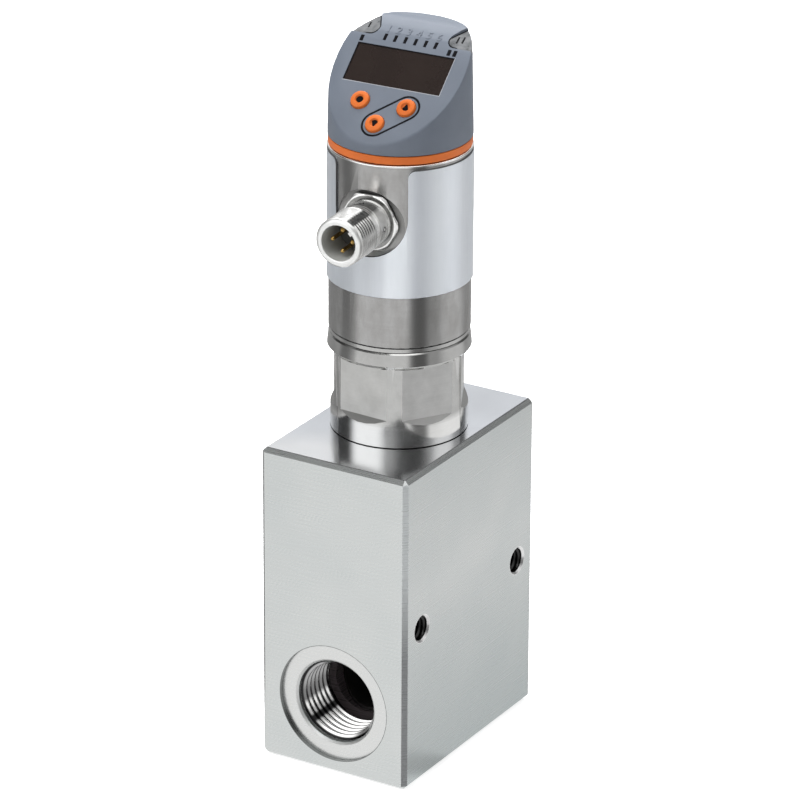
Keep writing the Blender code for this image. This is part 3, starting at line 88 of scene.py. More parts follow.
HOUSING_TURN = math.radians(3.8)
HOUSING = Matrix.Rotation(HOUSING_TURN, 4, "Z")
HEAD = Matrix.Rotation(math.radians(3.1), 4, "Z")
SOCKET = HOUSING @ Matrix.Translation((0, 0, SOCKET_HEIGHT)) @ Matrix.Rotation(math.pi / 2, 4, "X")
FACE = HEAD @ Matrix.Translation((0, 0, FACE_HEIGHT)) @ Matrix.Rotation(FACE_TILT, 4, "X")
INLET = Matrix.Translation((0, -BLOCK_HALF_DEPTH, PORT_HEIGHT)) @ Matrix.Rotation(math.pi / 2, 4, "X")
OUTLET = Matrix.Translation((0, BLOCK_HALF_DEPTH, PORT_HEIGHT)) @ Matrix.Rotation(-math.pi / 2, 4, "X")


def fixing_frame(y):
    place = Matrix.Translation((BLOCK_HALF_WIDTH, y, FIXING_HEIGHT))
    return place @ Matrix.Rotation(math.pi / 2, 4, "Y")


# Materials


class Tree:
    """A node tree whose nodes take outputs or plain values at their inputs."""

    def __init__(self, tree):
        self.tree = tree

    def fill(self, node, inputs):
        for key, given in inputs.items():
            if isinstance(given, bpy.types.NodeSocket):
                self.tree.links.new(given, node.inputs[key])
            else:
                node.inputs[key].default_value = given

    def node(self, kind, inputs=None, **settings):
        made = self.tree.nodes.new(kind)
        for key, value in settings.items():
            setattr(made, key, value)
        self.fill(made, inputs or {})
        return made

    def math(self, operation, *terms):
        return self.node("ShaderNodeMath", dict(enumerate(terms)), operation=operation).outputs[0]

    def times(self, *factors):
        """The product of shares and plain numbers."""
        result = factors[0]
        for factor in factors[1:]:
            result = self.math("MULTIPLY", result, factor)
        return result

    def vector(self, operation, *terms):
        return self.node("ShaderNodeVectorMath", dict(enumerate(terms)), operation=operation).outputs

    def spread(self, value, low, high, start=0.3, end=0.7):
        """A value mapped onto a range."""
        inputs = {"Value": value, "From Min": start, "From Max": end, "To Min": low, "To Max": high}
        return self.node("ShaderNodeMapRange", inputs).outputs["Result"]

    def share(self, value, start, end):
        """0 up to the first value and 1 beyond the second, or the other way round."""
        if start < end:
            return self.spread(value, 0, 1, start, end)
        return self.spread(value, 1, 0, end, start)

    def blend(self, share, first, second):
        """Two numbers mixed."""
        return self.node("ShaderNodeMix", {0: share, 2: first, 3: second}).outputs[0]

    def glow(self, direction, level, lobes):
        """A level that depends on a direction: (azimuth, elevation, half width, soft edge, level) each."""
        for azimuth, elevation, half, soft, value in lobes:
            inputs = {
                "Value": self.vector("DOT_PRODUCT", direction, aim(azimuth, elevation))["Value"],
                "From Min": math.cos(math.radians(half + soft)),
                "From Max": math.cos(math.radians(max(half - soft, 0))),
            }
            edge = self.node("ShaderNodeMapRange", inputs, interpolation_type="SMOOTHSTEP")
            level = self.blend(edge.outputs["Result"], level, value)
        return level


class Paint(Tree):
    """The node tree of one material, painted in the object's own coordinates."""

    def __init__(self, name, metallic=0.0, **values):
        self.material = bpy.data.materials.new(name)
        self.material.use_nodes = True
        super().__init__(self.material.node_tree)
        self.shader = self.tree.nodes["Principled BSDF"]
        self.fill(self.shader, {"Metallic": metallic, **values})
        self.coordinates = self.node("ShaderNodeTexCoord").outputs

    def stretched(self, scale, place=None, shift=(0, 0, 0)):
        """Coordinates in millimetres, stretched along the axes."""
        vector = place or self.coordinates["Object"]
        inputs = {"Vector": vector, "Scale": [s / MM for s in scale], "Location": shift}
        return self.node("ShaderNodeMapping", inputs).outputs["Vector"]

    def noise(self, scale, detail=3.0, roughness=0.5, stretch=(1, 1, 1)):
        vector = self.stretched(stretch)
        inputs = {"Vector": vector, "Scale": scale, "Detail": detail, "Roughness": roughness}
        return self.node("ShaderNodeTexNoise", inputs).outputs["Fac"]

    def ramp(self, value, *stops):
        node = self.node("ShaderNodeValToRGB", {"Fac": value})
        elements = node.color_ramp.elements
        while len(elements) < len(stops):
            elements.new(0.5)
        for element, (at, colour) in zip(elements, stops):
            element.position = at
            element.color = (*colour, 1)
        return node.outputs["Color"]

    def clouds(self, value, dark, light, start=0.3, end=0.7):
        return self.ramp(value, (start, dark), (end, light))

    def mix(self, share, first, second, blend="MIX"):
        """Two colours mixed, each an output or a plain colour."""
        inputs = {0: share}
        for key, given in ((6, first), (7, second)):
            inputs[key] = given if isinstance(given, bpy.types.NodeSocket) else (*given, 1)
        return self.node("ShaderNodeMix", inputs, data_type="RGBA", blend_type=blend).outputs[2]

    def axis(self, name, place=None):
        """One coordinate in millimetres."""
        return self.node("ShaderNodeSeparateXYZ", {0: self.stretched((1, 1, 1), place)}).outputs[name]

    def distance(self, scale, shift=(0, 0, 0), place=None):
        """Distance from an axis or a point, in millimetres."""
        return self.vector("LENGTH", self.stretched(scale, place, shift))["Value"]

    def colour(self, output):
        self.fill(self.shader, {"Base Color": output})

    def metallic(self, output):
        self.fill(self.shader, {"Metallic": output})

    def roughness(self, output):
        self.fill(self.shader, {"Roughness": output})

    def bump(self, height, distance, strength):
        """A height that reaches over a distance in millimetres."""
        inputs = {"Height": height, "Distance": distance * MM, "Strength": strength}
        self.fill(self.shader, {"Normal": self.node("ShaderNodeBump", inputs).outputs["Normal"]})


def block_steel():
    """Milled steel: soft clouds, faint streaks and face-mill arcs, turned port faces, bores painted dark as
    shade.
    """
    paint = Paint("milled_steel", metallic=1.0)
    streak = paint.noise(0.6, 3.0, 0.6, stretch=(0.12, 0.12, 8.0))
    cutter = paint.stretched((1, 1, 1), shift=(22, -30, -165))
    inputs = {"Vector": cutter, "Scale": 0.37, "Distortion": 1.2, "Detail": 1.0}
    arcs = paint.node("ShaderNodeTexWave", inputs, wave_type="RINGS", rings_direction="SPHERICAL")
    across, along, height = (paint.axis(name) for name in "XYZ")
    depth = paint.math("ABSOLUTE", along)
    base = paint.clouds(paint.noise(0.05, 2.0), (0.72, 0.75, 0.745), (0.775, 0.795, 0.785))
    marked = paint.mix(paint.spread(streak, 0, 0.08), base, (0.60, 0.62, 0.615))
    milled = paint.mix(paint.spread(arcs.outputs["Fac"], 0, 0.07, 0.2, 0.8), marked, (0.62, 0.63, 0.62))

    # Painted shade: the right side is greyer, most of all low down
    right = paint.share(across, BLOCK_HALF_WIDTH - 1.0, BLOCK_HALF_WIDTH - 0.1)
    low_side_shade = paint.times(right, paint.spread(height, 0.62, 0.04, 4, 48))
    high_side_shade = paint.times(right, paint.share(height, 50, BLOCK_HEIGHT), 0.28)
    side_shaded = paint.mix(high_side_shade, paint.mix(low_side_shade, milled, (0.42, 0.475, 0.48)), (0.44, 0.48, 0.485))

    # Both ports: bright sunk face, a dark line of painted shade round it and painted shade in the room behind
    port = paint.distance((1, 0, 1), (0, 0, -PORT_HEIGHT))
    at_face = paint.share(depth, BLOCK_HALF_DEPTH - 1.4, BLOCK_HALF_DEPTH - 1.2)
    sunk = paint.times(paint.share(port, PORT_FACE_RADIUS - 0.05, PORT_FACE_RADIUS - 0.1), at_face, 0.7)
    turned = paint.mix(sunk, side_shaded, (0.86, 0.86, 0.85))
    ring_start = paint.share(port, PORT_FACE_RADIUS - 0.1, PORT_FACE_RADIUS - 0.05)
    ring_end = paint.share(port, PORT_FACE_RADIUS + 0.15, PORT_FACE_RADIUS + 0.08)
    edged = paint.mix(paint.times(ring_start, ring_end, 0.8), turned, (0.10, 0.105, 0.105))
    room = paint.times(paint.share(port, 12.2, 12.0), paint.share(depth, 17.6, 16.9))
    room_shaded = paint.mix(room, edged, (0.10, 0.084, 0.088))

    # Fixing holes, in the right side alone: painted shade in the bore and a painted highlight on the chamfer
    aside, above = paint.math("SUBTRACT", depth, FIXING_Y), paint.math("SUBTRACT", height, FIXING_HEIGHT)
    offset = paint.node("ShaderNodeCombineXYZ", {"X": aside, "Y": above}).outputs[0]
    hole = paint.vector("LENGTH", offset)["Value"]
    below = paint.share(across, BLOCK_HALF_WIDTH - 0.25, BLOCK_HALF_WIDTH - 0.45)
    bore = paint.times(paint.share(hole, 3.2, 3.1), paint.share(across, 4, 6), below)
    bore_shaded = paint.mix(bore, room_shaded, (0.02, 0.02, 0.021))
    at_side = paint.share(across, BLOCK_HALF_WIDTH - 0.5, BLOCK_HALF_WIDTH - 0.4)
    mouth = paint.times(paint.share(hole, 3.65, 3.55), at_side)

    # Top face in painted shade, with a painted reflection that makes it paler in front of the collar
    on_top = paint.share(height, BLOCK_HEIGHT - 0.2, BLOCK_HEIGHT - 0.05)
    ahead = paint.math("ADD", paint.times(across, 0.512), paint.times(along, -0.859))
    collar_reflection = paint.mix(paint.share(ahead, 4, 15), (0.52, 0.54, 0.575), (0.64, 0.65, 0.665))
    lit = paint.mix(mouth, paint.mix(on_top, bore_shaded, collar_reflection), (1.0, 1.0, 1.0))

    # Upright chamfers on the right: matt and painted darker, with painted shade deepening towards the foot
    chamfer = BLOCK_HALF_WIDTH + BLOCK_HALF_DEPTH - BLOCK_CHAMFER
    edge = paint.share(paint.math("ADD", across, depth), chamfer - 0.1, chamfer - 0.04)
    matt = paint.times(edge, paint.share(height, BLOCK_HEIGHT - 0.5, BLOCK_HEIGHT - 0.8))
    chamfer_shaded = paint.mix(matt, lit, (0.43, 0.45, 0.455))
    low = paint.times(edge, paint.share(height, 56, 34), 0.9)
    paint.colour(paint.mix(low, chamfer_shaded, (0.15, 0.155, 0.16)))
    paint.metallic(paint.spread(paint.math("MAXIMUM", matt, room), 1.0, 0.2, 0.0, 1.0))
    in_mouth = paint.times(paint.share(port, 11.3, 11.2), paint.share(depth, 17.0, 17.5), 0.22)
    polish = paint.math("SUBTRACT", in_mouth, paint.times(on_top, 0.11))
    paint.roughness(paint.math("ADD", polish, paint.spread(streak, 0.26, 0.30)))
    paint.bump(streak, 0.002, 0.18)
    return paint.material


def tube_steel():
    """Turned stainless tube: mottled, with fine turning lines, and painted shade in the socket's seat."""
    paint = Paint("turned_steel", metallic=1.0)
    mottle = paint.noise(0.28, 4.0, 0.6, stretch=(1, 1, 0.45))
    lines = paint.noise(1.4, 2.0, 0.6, stretch=(0.05, 0.05, 5.0))
    base = paint.clouds(mottle, (0.42, 0.415, 0.405), (0.53, 0.53, 0.525), 0.32, 0.68)
    lined = paint.mix(paint.spread(lines, 0, 0.25), base, (0.36, 0.355, 0.35))
    round_socket = paint.distance((1, 0, 1), (0, 0, -SOCKET_HEIGHT))
    front = paint.times(paint.axis("Y"), -1)
    recessed = paint.share(paint.distance((1, 1, 0)), HOUSING_RADIUS - 0.07, HOUSING_RADIUS - 0.15)
    in_seat = paint.times(recessed, paint.share(round_socket, 10.6, 10.4), paint.share(front, 10.0, 10.5))
    # Painted shade in the socket's seat: dark at the top, lighter towards the bottom
    seat = paint.ramp(
        paint.share(paint.axis("Z"), SOCKET_HEIGHT - 9, SOCKET_HEIGHT + 1),
        (0.0, (0.85, 0.85, 0.83)), (0.35, (0.62, 0.62, 0.61)), (0.75, (0.27, 0.268, 0.262)),
    )
    paint.colour(paint.mix(in_seat, lined, seat))
    paint.metallic(paint.spread(in_seat, 1.0, 0.25, 0.0, 1.0))
    paint.roughness(paint.spread(mottle, 0.27, 0.19))
    paint.bump(lines, 0.004, 0.4)
    return paint.material


def neck_steel():
    """Bright turned collar and corners, satin mottled flats and a flange turned like the tube."""
    paint = Paint("neck_steel", metallic=1.0)
    mottle = paint.noise(0.22, 4.0, 0.6)
    lines = paint.noise(1.4, 2.0, 0.6, stretch=(0.05, 0.05, 5.0))
    height, normal = paint.axis("Z"), paint.coordinates["Normal"]
    outward = paint.vector("NORMALIZE", paint.stretched((1, 1, 0)))["Vector"]
    facing = paint.vector("DOT_PRODUCT", outward, normal)["Value"]
    skin = paint.times(paint.share(paint.distance((1, 1, 0)), 16.15, 16.2), paint.share(facing, 0.96, 0.975))
    flats = paint.clouds(mottle, (0.60, 0.60, 0.585), (0.74, 0.74, 0.725))
    lit_flats = paint.clouds(mottle, (0.76, 0.76, 0.75), (0.90, 0.90, 0.89))
    # Painted highlight on the flats that face right, and painted shade on the slope below them
    to_right = paint.share(paint.node("ShaderNodeSeparateXYZ", {0: normal}).outputs["X"], 0.35, 0.45)
    sloping = paint.times(paint.share(height, COLLAR_TOP + 1.44, COLLAR_TOP + 1.36), 0.75)
    milled = paint.mix(sloping, paint.mix(to_right, flats, lit_flats), (0.28, 0.28, 0.275))
    turned = paint.clouds(mottle, (0.50, 0.50, 0.49), (0.60, 0.60, 0.59))
    collar = paint.clouds(mottle, (0.93, 0.93, 0.915), (1.0, 1.0, 0.985))
    corners = paint.clouds(mottle, (0.52, 0.52, 0.51), (0.62, 0.62, 0.61))
    bright = paint.mix(paint.share(height, COLLAR_TOP - 0.6, COLLAR_TOP + 1.2), collar, corners)
    in_flange = paint.share(height, FLANGE_BASE - 0.1, FLANGE_BASE)
    # Painted highlight on the flange's lower chamfer
    under = paint.times(paint.share(height, FLANGE_BASE + 1.05, FLANGE_BASE + 0.95), 0.7)
    shell = paint.mix(under, turned, (0.95, 0.95, 0.94))
    base = paint.mix(in_flange, paint.mix(skin, milled, bright), shell)
    paint.colour(paint.mix(paint.spread(lines, 0, 0.10), base, (0.45, 0.45, 0.44)))
    on_flat = paint.times(paint.math("SUBTRACT", 1, skin), paint.math("SUBTRACT", 1, in_flange))
    satin = paint.math("MULTIPLY_ADD", on_flat, 0.28, 0.13)
    paint.roughness(paint.math("ADD", satin, paint.spread(mottle, -0.02, 0.04)))
    paint.bump(lines, 0.003, 0.3)
    return paint.material


def label_steel():
    """Satin silver plate with a very fine vertical grain, and painted sheen and shade by the angle round the
    housing.
    """
    paint = Paint("satin_plate", metallic=0.62)
    grain = paint.noise(2.0, 2.0, 0.5, stretch=(1, 1, 0.08))
    base = paint.clouds(paint.noise(0.06, 2.0), (0.78, 0.82, 0.87), (0.83, 0.865, 0.91))
    grained = paint.mix(paint.spread(grain, 0, 0.15), base, (0.68, 0.72, 0.77))
    # Painted sheen and shade by the angle round the housing
    around = paint.math("ARCTAN2", paint.axis("X"), paint.times(paint.axis("Y"), -1))
    sheen = paint.ramp(
        paint.spread(around, 0, 1, -math.pi, math.pi),
        (0.33, (0.92, 0.92, 0.92)), (0.405, (0.70, 0.71, 0.72)), (0.515, (0.74, 0.74, 0.74)),
        (0.545, (0.88, 0.88, 0.88)), (0.560, (1.10, 1.10, 1.09)), (0.600, (1.04, 1.04, 1.03)),
        (0.620, (0.97, 0.97, 0.98)), (0.665, (1.02, 1.02, 1.01)), (0.711, (0.96, 0.96, 0.96)),
        (0.744, (0.83, 0.83, 0.83)), (0.783, (0.92, 0.92, 0.92)), (0.85, (0.96, 0.96, 0.96)),
    )
    paint.colour(paint.mix(1.0, grained, sheen, "MULTIPLY"))
    paint.roughness(paint.spread(grain, 0.30, 0.36))
    paint.bump(grain, 0.002, 0.3)
    return paint.material


def bright_metal(name="plated_metal", dark=(0.66, 0.65, 0.63), light=(0.86, 0.85, 0.83), smooth=0.10):
    """Plated or polished metal with a few rubbed places."""
    paint = Paint(name, metallic=1.0)
    mottle = paint.noise(0.5, 4.0, 0.6)
    lines = paint.noise(2.0, 2.0, 0.6, stretch=(1, 0.1, 1))
    paint.colour(paint.mix(paint.spread(lines, 0, 0.3), light, dark))
    paint.roughness(paint.spread(mottle, smooth, smooth + 0.12))
    paint.bump(lines, 0.003, 0.3)
    return paint.material


def cut_thread():
    """Polished crests with painted highlights and shade by angle, over grooves painted dark as shade, in both
    ports.
    """
    paint = Paint("thread_steel", metallic=1.0)
    mottle = paint.noise(0.5, 4.0, 0.6)
    port = paint.distance((1, 0, 1), (0, 0, -PORT_HEIGHT))
    crest = paint.share(port, 10.05, 9.85)
    angle = paint.math("ARCTAN2", paint.math("SUBTRACT", paint.axis("Z"), PORT_HEIGHT), paint.axis("X"))
    turn = paint.spread(angle, 0, 1, -math.pi, math.pi)
    # Painted highlights and shade by the angle round the port
    sheen = paint.ramp(
        turn, (0.0, (0.24, 0.24, 0.24)), (0.040, (0.22, 0.22, 0.22)), (0.058, (0.95, 0.95, 0.94)),
        (0.102, (0.95, 0.95, 0.94)), (0.112, (0.05, 0.05, 0.05)), (0.132, (0.04, 0.04, 0.04)),
        (0.142, (1.0, 1.0, 0.99)), (0.300, (0.96, 0.96, 0.95)), (0.40, (0.5, 0.5, 0.5)),
        (0.90, (0.5, 0.5, 0.5)), (0.965, (0.42, 0.42, 0.42)), (1.0, (0.24, 0.24, 0.24)),
    )
    # Grooves painted near black as shade
    paint.colour(paint.mix(crest, (0.03, 0.03, 0.031), sheen))
    paint.roughness(paint.spread(mottle, 0.10, 0.18))
    paint.bump(mottle, 0.004, 0.3)
    return paint.material


def in_socket(paint):
    """The socket's own coordinates, with Z along it."""
    inputs = {
        "Vector": paint.coordinates["Object"],
        "Location": (0, 0, SOCKET_HEIGHT * MM),
        "Rotation": (math.pi / 2, 0, HOUSING_TURN),
    }
    return paint.node("ShaderNodeMapping", inputs, vector_type="TEXTURE").outputs["Vector"]


def socket_plating():
    """Nickel plate on the cable socket: lands and one dark streak along it painted as reflections, and
    painted shade in the grooves, round the waist and in the mouth.
    """
    paint = Paint("socket_plating", metallic=0.72, IOR=1.2)
    inside = in_socket(paint)
    mottle = paint.noise(0.6, 3.0, 0.6)
    x, y, along = (paint.axis(name, inside) for name in "XYZ")
    reach = paint.distance((1, 1, 0), place=inside)
    turn = paint.share(paint.math("ARCTAN2", y, x), -math.pi, math.pi)
    # Painted reflections on the lands: bright and dark by the angle round the socket
    land = paint.ramp(
        turn, (0.36, (0.55, 0.55, 0.54)), (0.50, (0.50, 0.50, 0.49)), (0.55, (0.74, 0.74, 0.73)),
        (0.60, (0.95, 0.95, 0.93)), (0.80, (1.0, 1.0, 0.99)), (0.90, (0.60, 0.60, 0.59)),
    )
    threaded = paint.times(paint.share(along, 22.3, 22.6), paint.share(along, 30.9, 30.6))
    # Painted shade in the thread's grooves on one side
    shaded = paint.times(paint.share(turn, 0.66, 0.64), paint.share(turn, 0.53, 0.56))
    groove = paint.times(paint.share(reach, 5.78, 5.62), shaded, threaded)
    grooved = paint.mix(groove, land, (0.02, 0.02, 0.02))
    # Painted dark reflection: a ragged streak along the thread
    streak = paint.times(paint.share(turn, 0.632, 0.648), paint.share(turn, 0.712, 0.694), threaded)
    ragged = paint.times(paint.spread(paint.noise(0.9, 2.0, 0.6), 0.92, 1.0), streak)
    streaked = paint.mix(ragged, grooved, (0.02, 0.02, 0.02))
    # Painted shade round the waist on one side
    narrow = paint.times(paint.share(along, 22.3, 22.1), paint.share(along, 16.2, 16.4))
    waist = paint.times(narrow, paint.share(turn, 0.63, 0.66), 0.85)
    waist_shaded = paint.mix(waist, streaked, (0.10, 0.10, 0.097))
    tip = paint.share(along, SOCKET_TIP - 0.25, SOCKET_TIP - 0.1)
    ended = paint.mix(tip, waist_shaded, (0.86, 0.865, 0.855))
    # Painted shade in the mouth behind the tip
    behind_tip = paint.share(along, SOCKET_TIP - 0.15, SOCKET_TIP - 0.3)
    mouth = paint.times(paint.share(reach, 4.45, 4.38), behind_tip)
    paint.colour(paint.mix(mouth, ended, (0.36, 0.365, 0.35)))
    covered = paint.math("MAXIMUM", mouth, paint.times(ragged, 0.5))
    paint.metallic(paint.spread(covered, 0.72, 0.15, 0.0, 1.0))
    paint.roughness(paint.spread(mottle, 0.16, 0.26))
    paint.bump(mottle, 0.004, 0.3)
    return paint.material


def nut_plating():
    """Nickel plate on the hexagon: grey turned face, with painted highlights on its rims and painted shade on
    its flats.
    """
    paint = Paint("nut_plating", metallic=0.9)
    inside = in_socket(paint)
    reach, along = paint.distance((1, 1, 0), place=inside), paint.axis("Z", inside)
    mottle = paint.noise(0.6, 3.0, 0.6)
    face = paint.clouds(mottle, (0.26, 0.26, 0.255), (0.40, 0.40, 0.39))
    at_face = paint.share(along, SOCKET_NUT_FACE - 0.5, SOCKET_NUT_FACE - 0.4)
    # Painted highlights on the outer and inner rims of the face
    rim_highlight = paint.times(paint.share(reach, 6.45, 6.55), at_face)
    inner = paint.share(reach, 5.62, 5.56)
    edged = paint.mix(paint.math("MAXIMUM", rim_highlight, inner), face, (1.0, 1.0, 0.99))
    # Painted shade on the flats
    side = paint.share(along, SOCKET_NUT_FACE - 0.42, SOCKET_NUT_FACE - 0.5)
    paint.colour(paint.mix(side, edged, (0.12, 0.12, 0.118)))
    paint.roughness(paint.spread(mottle, 0.16, 0.26))
    paint.bump(mottle, 0.006, 0.4)
    return paint.material


def moulded(name, dark, light, rough=0.45, grain=0.006, **values):
    """Moulded plastic or rubber: slight clouds, a fine spark-eroded grain and soft gloss."""
    paint = Paint(name, **values)
    cloud = paint.noise(0.12, 3.0)
    pores = paint.noise(6.0, 2.0, 0.6)
    paint.colour(paint.clouds(cloud, dark, light))
    paint.roughness(paint.spread(pores, rough - 0.05, rough + 0.07))
    paint.bump(pores, grain, 0.6)
    return paint.material


def lens_plastic():
    """Smoky moulding with a rippled inner side that shows as dull streaks."""
    paint = Paint("lens_plastic", IOR=1.3)
    ripple = paint.noise(0.55, 3.0, 0.55)
    streak = paint.noise(0.5, 2.0, 0.5, stretch=(2.2, 0.4, 1.0))
    base = paint.clouds(ripple, (0.035, 0.038, 0.042), (0.115, 0.120, 0.126), 0.35, 0.65)
    paint.colour(paint.mix(paint.spread(streak, 0, 0.4), base, (0.15, 0.155, 0.16)))
    paint.roughness(paint.spread(ripple, 0.26, 0.36))
    paint.bump(ripple, 0.05, 0.4)
    return paint.material


def circuit_board():
    """Green lacquer over tracks."""
    paint = Paint("circuit_board")
    inputs = {"Vector": paint.stretched((1, 1, 1)), "Scale": 0.6}
    tracks = paint.node("ShaderNodeTexVoronoi", inputs, distance="CHEBYCHEV", feature="DISTANCE_TO_EDGE")
    edge = paint.share(tracks.outputs["Distance"], 0.03, 0.08)
    paint.colour(paint.mix(edge, (0.05, 0.22, 0.10), (0.015, 0.11, 0.05)))
    paint.roughness(paint.spread(edge, 0.45, 0.3))
    paint.bump(edge, 0.02, 0.5)
    return paint.material


def make_materials():
    return {
        "block": block_steel(),
        "tube": tube_steel(),
        "neck": neck_steel(),
        "label": label_steel(),
        "plated": bright_metal(),
        "bead": bright_metal("polished_edge", (0.80, 0.80, 0.79), (0.97, 0.97, 0.96), 0.08),
        "socket": socket_plating(),
        "nut": nut_plating(),
        "washer": bright_metal("washer_steel", (0.45, 0.45, 0.44), (0.62, 0.62, 0.61), 0.16),
        "thread": cut_thread(),
        # Thread in the fixing holes, painted near black as shade
        "hole_shade": bright_metal("hole_thread_shade", (0.03, 0.03, 0.03), (0.07, 0.07, 0.07), 0.3),
        "spring": bright_metal("spring_steel", (0.38, 0.38, 0.38), (0.56, 0.56, 0.56), 0.18),
        "gold": bright_metal("gold_plating", (0.40, 0.22, 0.06), (0.72, 0.47, 0.15), 0.14),
        "grey": moulded("grey_moulding", (0.101, 0.118, 0.147), (0.112, 0.130, 0.161), 0.42),
        "orange": moulded(
            "orange_moulding", (0.49, 0.108, 0.016), (0.55, 0.128, 0.021), 0.42, 0.004, IOR=1.36
        ),
        "window": moulded(
            "smoked_window", (0.014, 0.009, 0.0075), (0.018, 0.012, 0.010), 0.16, 0.0006, IOR=1.42
        ),
        "black": moulded("black_plastic", (0.010, 0.010, 0.011), (0.018, 0.018, 0.019), 0.38),
        "carrier": moulded("contact_carrier", (0.105, 0.108, 0.104), (0.135, 0.138, 0.132), 0.5),
        "rubber": moulded("seal_rubber", (0.012, 0.012, 0.012), (0.022, 0.022, 0.022), 0.65),
        "guide": moulded("guide_plastic", (0.012, 0.011, 0.010), (0.022, 0.020, 0.019), 0.55),
        "ferrite": moulded("ferrite", (0.05, 0.05, 0.055), (0.09, 0.09, 0.095), 0.45),
        "ink": moulded("black_print", (0.002, 0.002, 0.003), (0.004, 0.004, 0.005), 0.7, 0.001, IOR=1.2),
        "painted_highlight": moulded("painted_highlight_edge", (0.27, 0.28, 0.30), (0.33, 0.34, 0.36), 0.5, 0.001),
        "seam_shade": moulded("seam_shade_strip", (0.060, 0.060, 0.062), (0.085, 0.085, 0.088), 0.6, 0.001),
        "lens": lens_plastic(),
        "board": circuit_board(),
    }


NODE_FINISHES = {
    "block": ["flow_block"],
    "tube": ["sensor_housing"],
    "neck": ["neck"],
    "label": ["label_plate"],
    "washer": ["swivel_washer", "valve_seat", "piston"],
    "plated": ["socket_locknut"],
    "spring": ["piston_spring", "neck_circlip"],
    "gold": ["contact_pin_1", "contact_pin_2", "contact_pin_3", "contact_pin_4"],
    "grey": ["display_head"],
    "orange": ["orange_ring", "button_set", "button_up", "button_down"],
    "window": ["display_window"],
    "black": ["display_module", "light_bar", "switch_set", "switch_up", "switch_down"],
    "carrier": ["socket_insert"],
    "rubber": ["block_seal", "swivel_seal", "socket_gasket"],
    "guide": ["flow_insert", "guide_bush"],
    "ferrite": ["piston_magnet"],
    "lens": ["status_lens_left", "status_lens_right"],
    "board": ["main_board", "sensor_board", "display_board"],
}


# Smooth shading of the solids: the angle in degrees from which an edge stays sharp
PLAIN_EDGE = 29
EDGES = {"neck": 12, **{f"contact_pin_{i}": 40 for i in (1, 2, 3, 4)}}


def smoothing_tree(degrees):
    """Joins the facets of a solid and shades them smooth up to its real edges."""
    tree = bpy.data.node_groups.new(f"smooth_facets_{degrees}", "GeometryNodeTree")
    tree.interface.new_socket("Geometry", in_out="INPUT", socket_type="NodeSocketGeometry")
    tree.interface.new_socket("Geometry", in_out="OUTPUT", socket_type="NodeSocketGeometry")
    plain = tree.nodes.new("GeometryNodeRemoveAttribute")
    plain.inputs["Name"].default_value = "custom_normal"
    merge = tree.nodes.new("GeometryNodeMergeByDistance")
    merge.inputs["Distance"].default_value = 0.002 * MM
    angle = tree.nodes.new("GeometryNodeInputMeshEdgeAngle")
    flat = tree.nodes.new("FunctionNodeCompare")
    flat.operation = "LESS_THAN"
    flat.inputs["B"].default_value = math.radians(degrees)
    faces = tree.nodes.new("GeometryNodeSetShadeSmooth")
    faces.domain = "FACE"
    faces.inputs["Shade Smooth"].default_value = True
    edges = tree.nodes.new("GeometryNodeSetShadeSmooth")
    edges.domain = "EDGE"
    tree.links.new(angle.outputs["Unsigned Angle"], flat.inputs["A"])
    tree.links.new(flat.outputs["Result"], edges.inputs["Shade Smooth"])
    chain = [tree.nodes.new("NodeGroupInput"), plain, merge, faces, edges, tree.nodes.new("NodeGroupOutput")]
    for one, after in zip(chain, chain[1:]):
        tree.links.new(one.outputs[0], after.inputs[0])
    return tree


def dress_solids(paints):
    """Every solid's finish and smooth shading."""
    trees = {degrees: smoothing_tree(degrees) for degrees in {PLAIN_EDGE, *EDGES.values()}}
    for finish, names in NODE_FINISHES.items():
        for name in names:
            obj = NODES[name]
            for slot in obj.material_slots:
                slot.material = paints[finish]
            tree = trees[EDGES.get(name, PLAIN_EDGE)]
            obj.modifiers.new("Smooth facets", "NODES").node_group = tree


# Mesh pieces

SHARP_EDGE = 32

# Inner threads: radius of the wall, radius of the crest, pitch, start and end
PORT_THREAD = (10.4775, 9.3155, 1.814, -2.3, -14.4)
FIXING_THREAD = (3.0, 2.46, 1.0, -1.1, -9.4)


def piece(name, verts, faces, body, material):
    """A mesh from points in millimetres, in the frame's axes, riding on a body."""
    mesh = bpy.data.meshes.new(name)
    mesh.from_pydata([Vector(v) * MM for v in verts], [], faces)
    tidy = bmesh.new()
    tidy.from_mesh(mesh)
    bmesh.ops.recalc_face_normals(tidy, faces=tidy.faces)
    tidy.to_mesh(mesh)
    tidy.free()
    mesh.materials.append(material)
    mesh.shade_smooth()
    mesh.set_sharp_from_angle(angle=math.radians(SHARP_EDGE))
    obj = bpy.data.objects.new(name, mesh)
    bpy.context.scene.collection.objects.link(obj)
    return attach(obj, body)


def loft(rings, closed=False):
    """Quads between rings of points, capped at both ends or closed on itself."""
    count = len(rings[0])
    verts = [point for ring in rings for point in ring]
    faces = []
    for i in range(len(rings) if closed else len(rings) - 1):
        a, b = i * count, (i + 1) % len(rings) * count
        faces += [(a + j, a + (j + 1) % count, b + (j + 1) % count, b + j) for j in range(count)]
    if not closed:
        faces += [tuple(range(count - 1, -1, -1)), tuple(range(len(verts) - count, len(verts)))]
    return verts, faces


def turned_rings(rows, steps, place):
    """Rings round an axis from (radius, height) rows; a radius may depend on the angle."""
    rings = []
    for radius, height in rows:
        ring = []
        for i in range(steps):
            angle = 2 * math.pi * i / steps
            r = radius(angle) if callable(radius) else radius
            ring.append(place @ Vector((r * math.cos(angle), r * math.sin(angle), height)))
        rings.append(ring)
    return rings


def arc_points(centre, radius, start, end, count):
    step = (end - start) / (count - 1)
    angles = [start + step * i for i in range(count)]
    return [(centre[0] + radius * math.cos(a), centre[1] + radius * math.sin(a)) for a in angles]


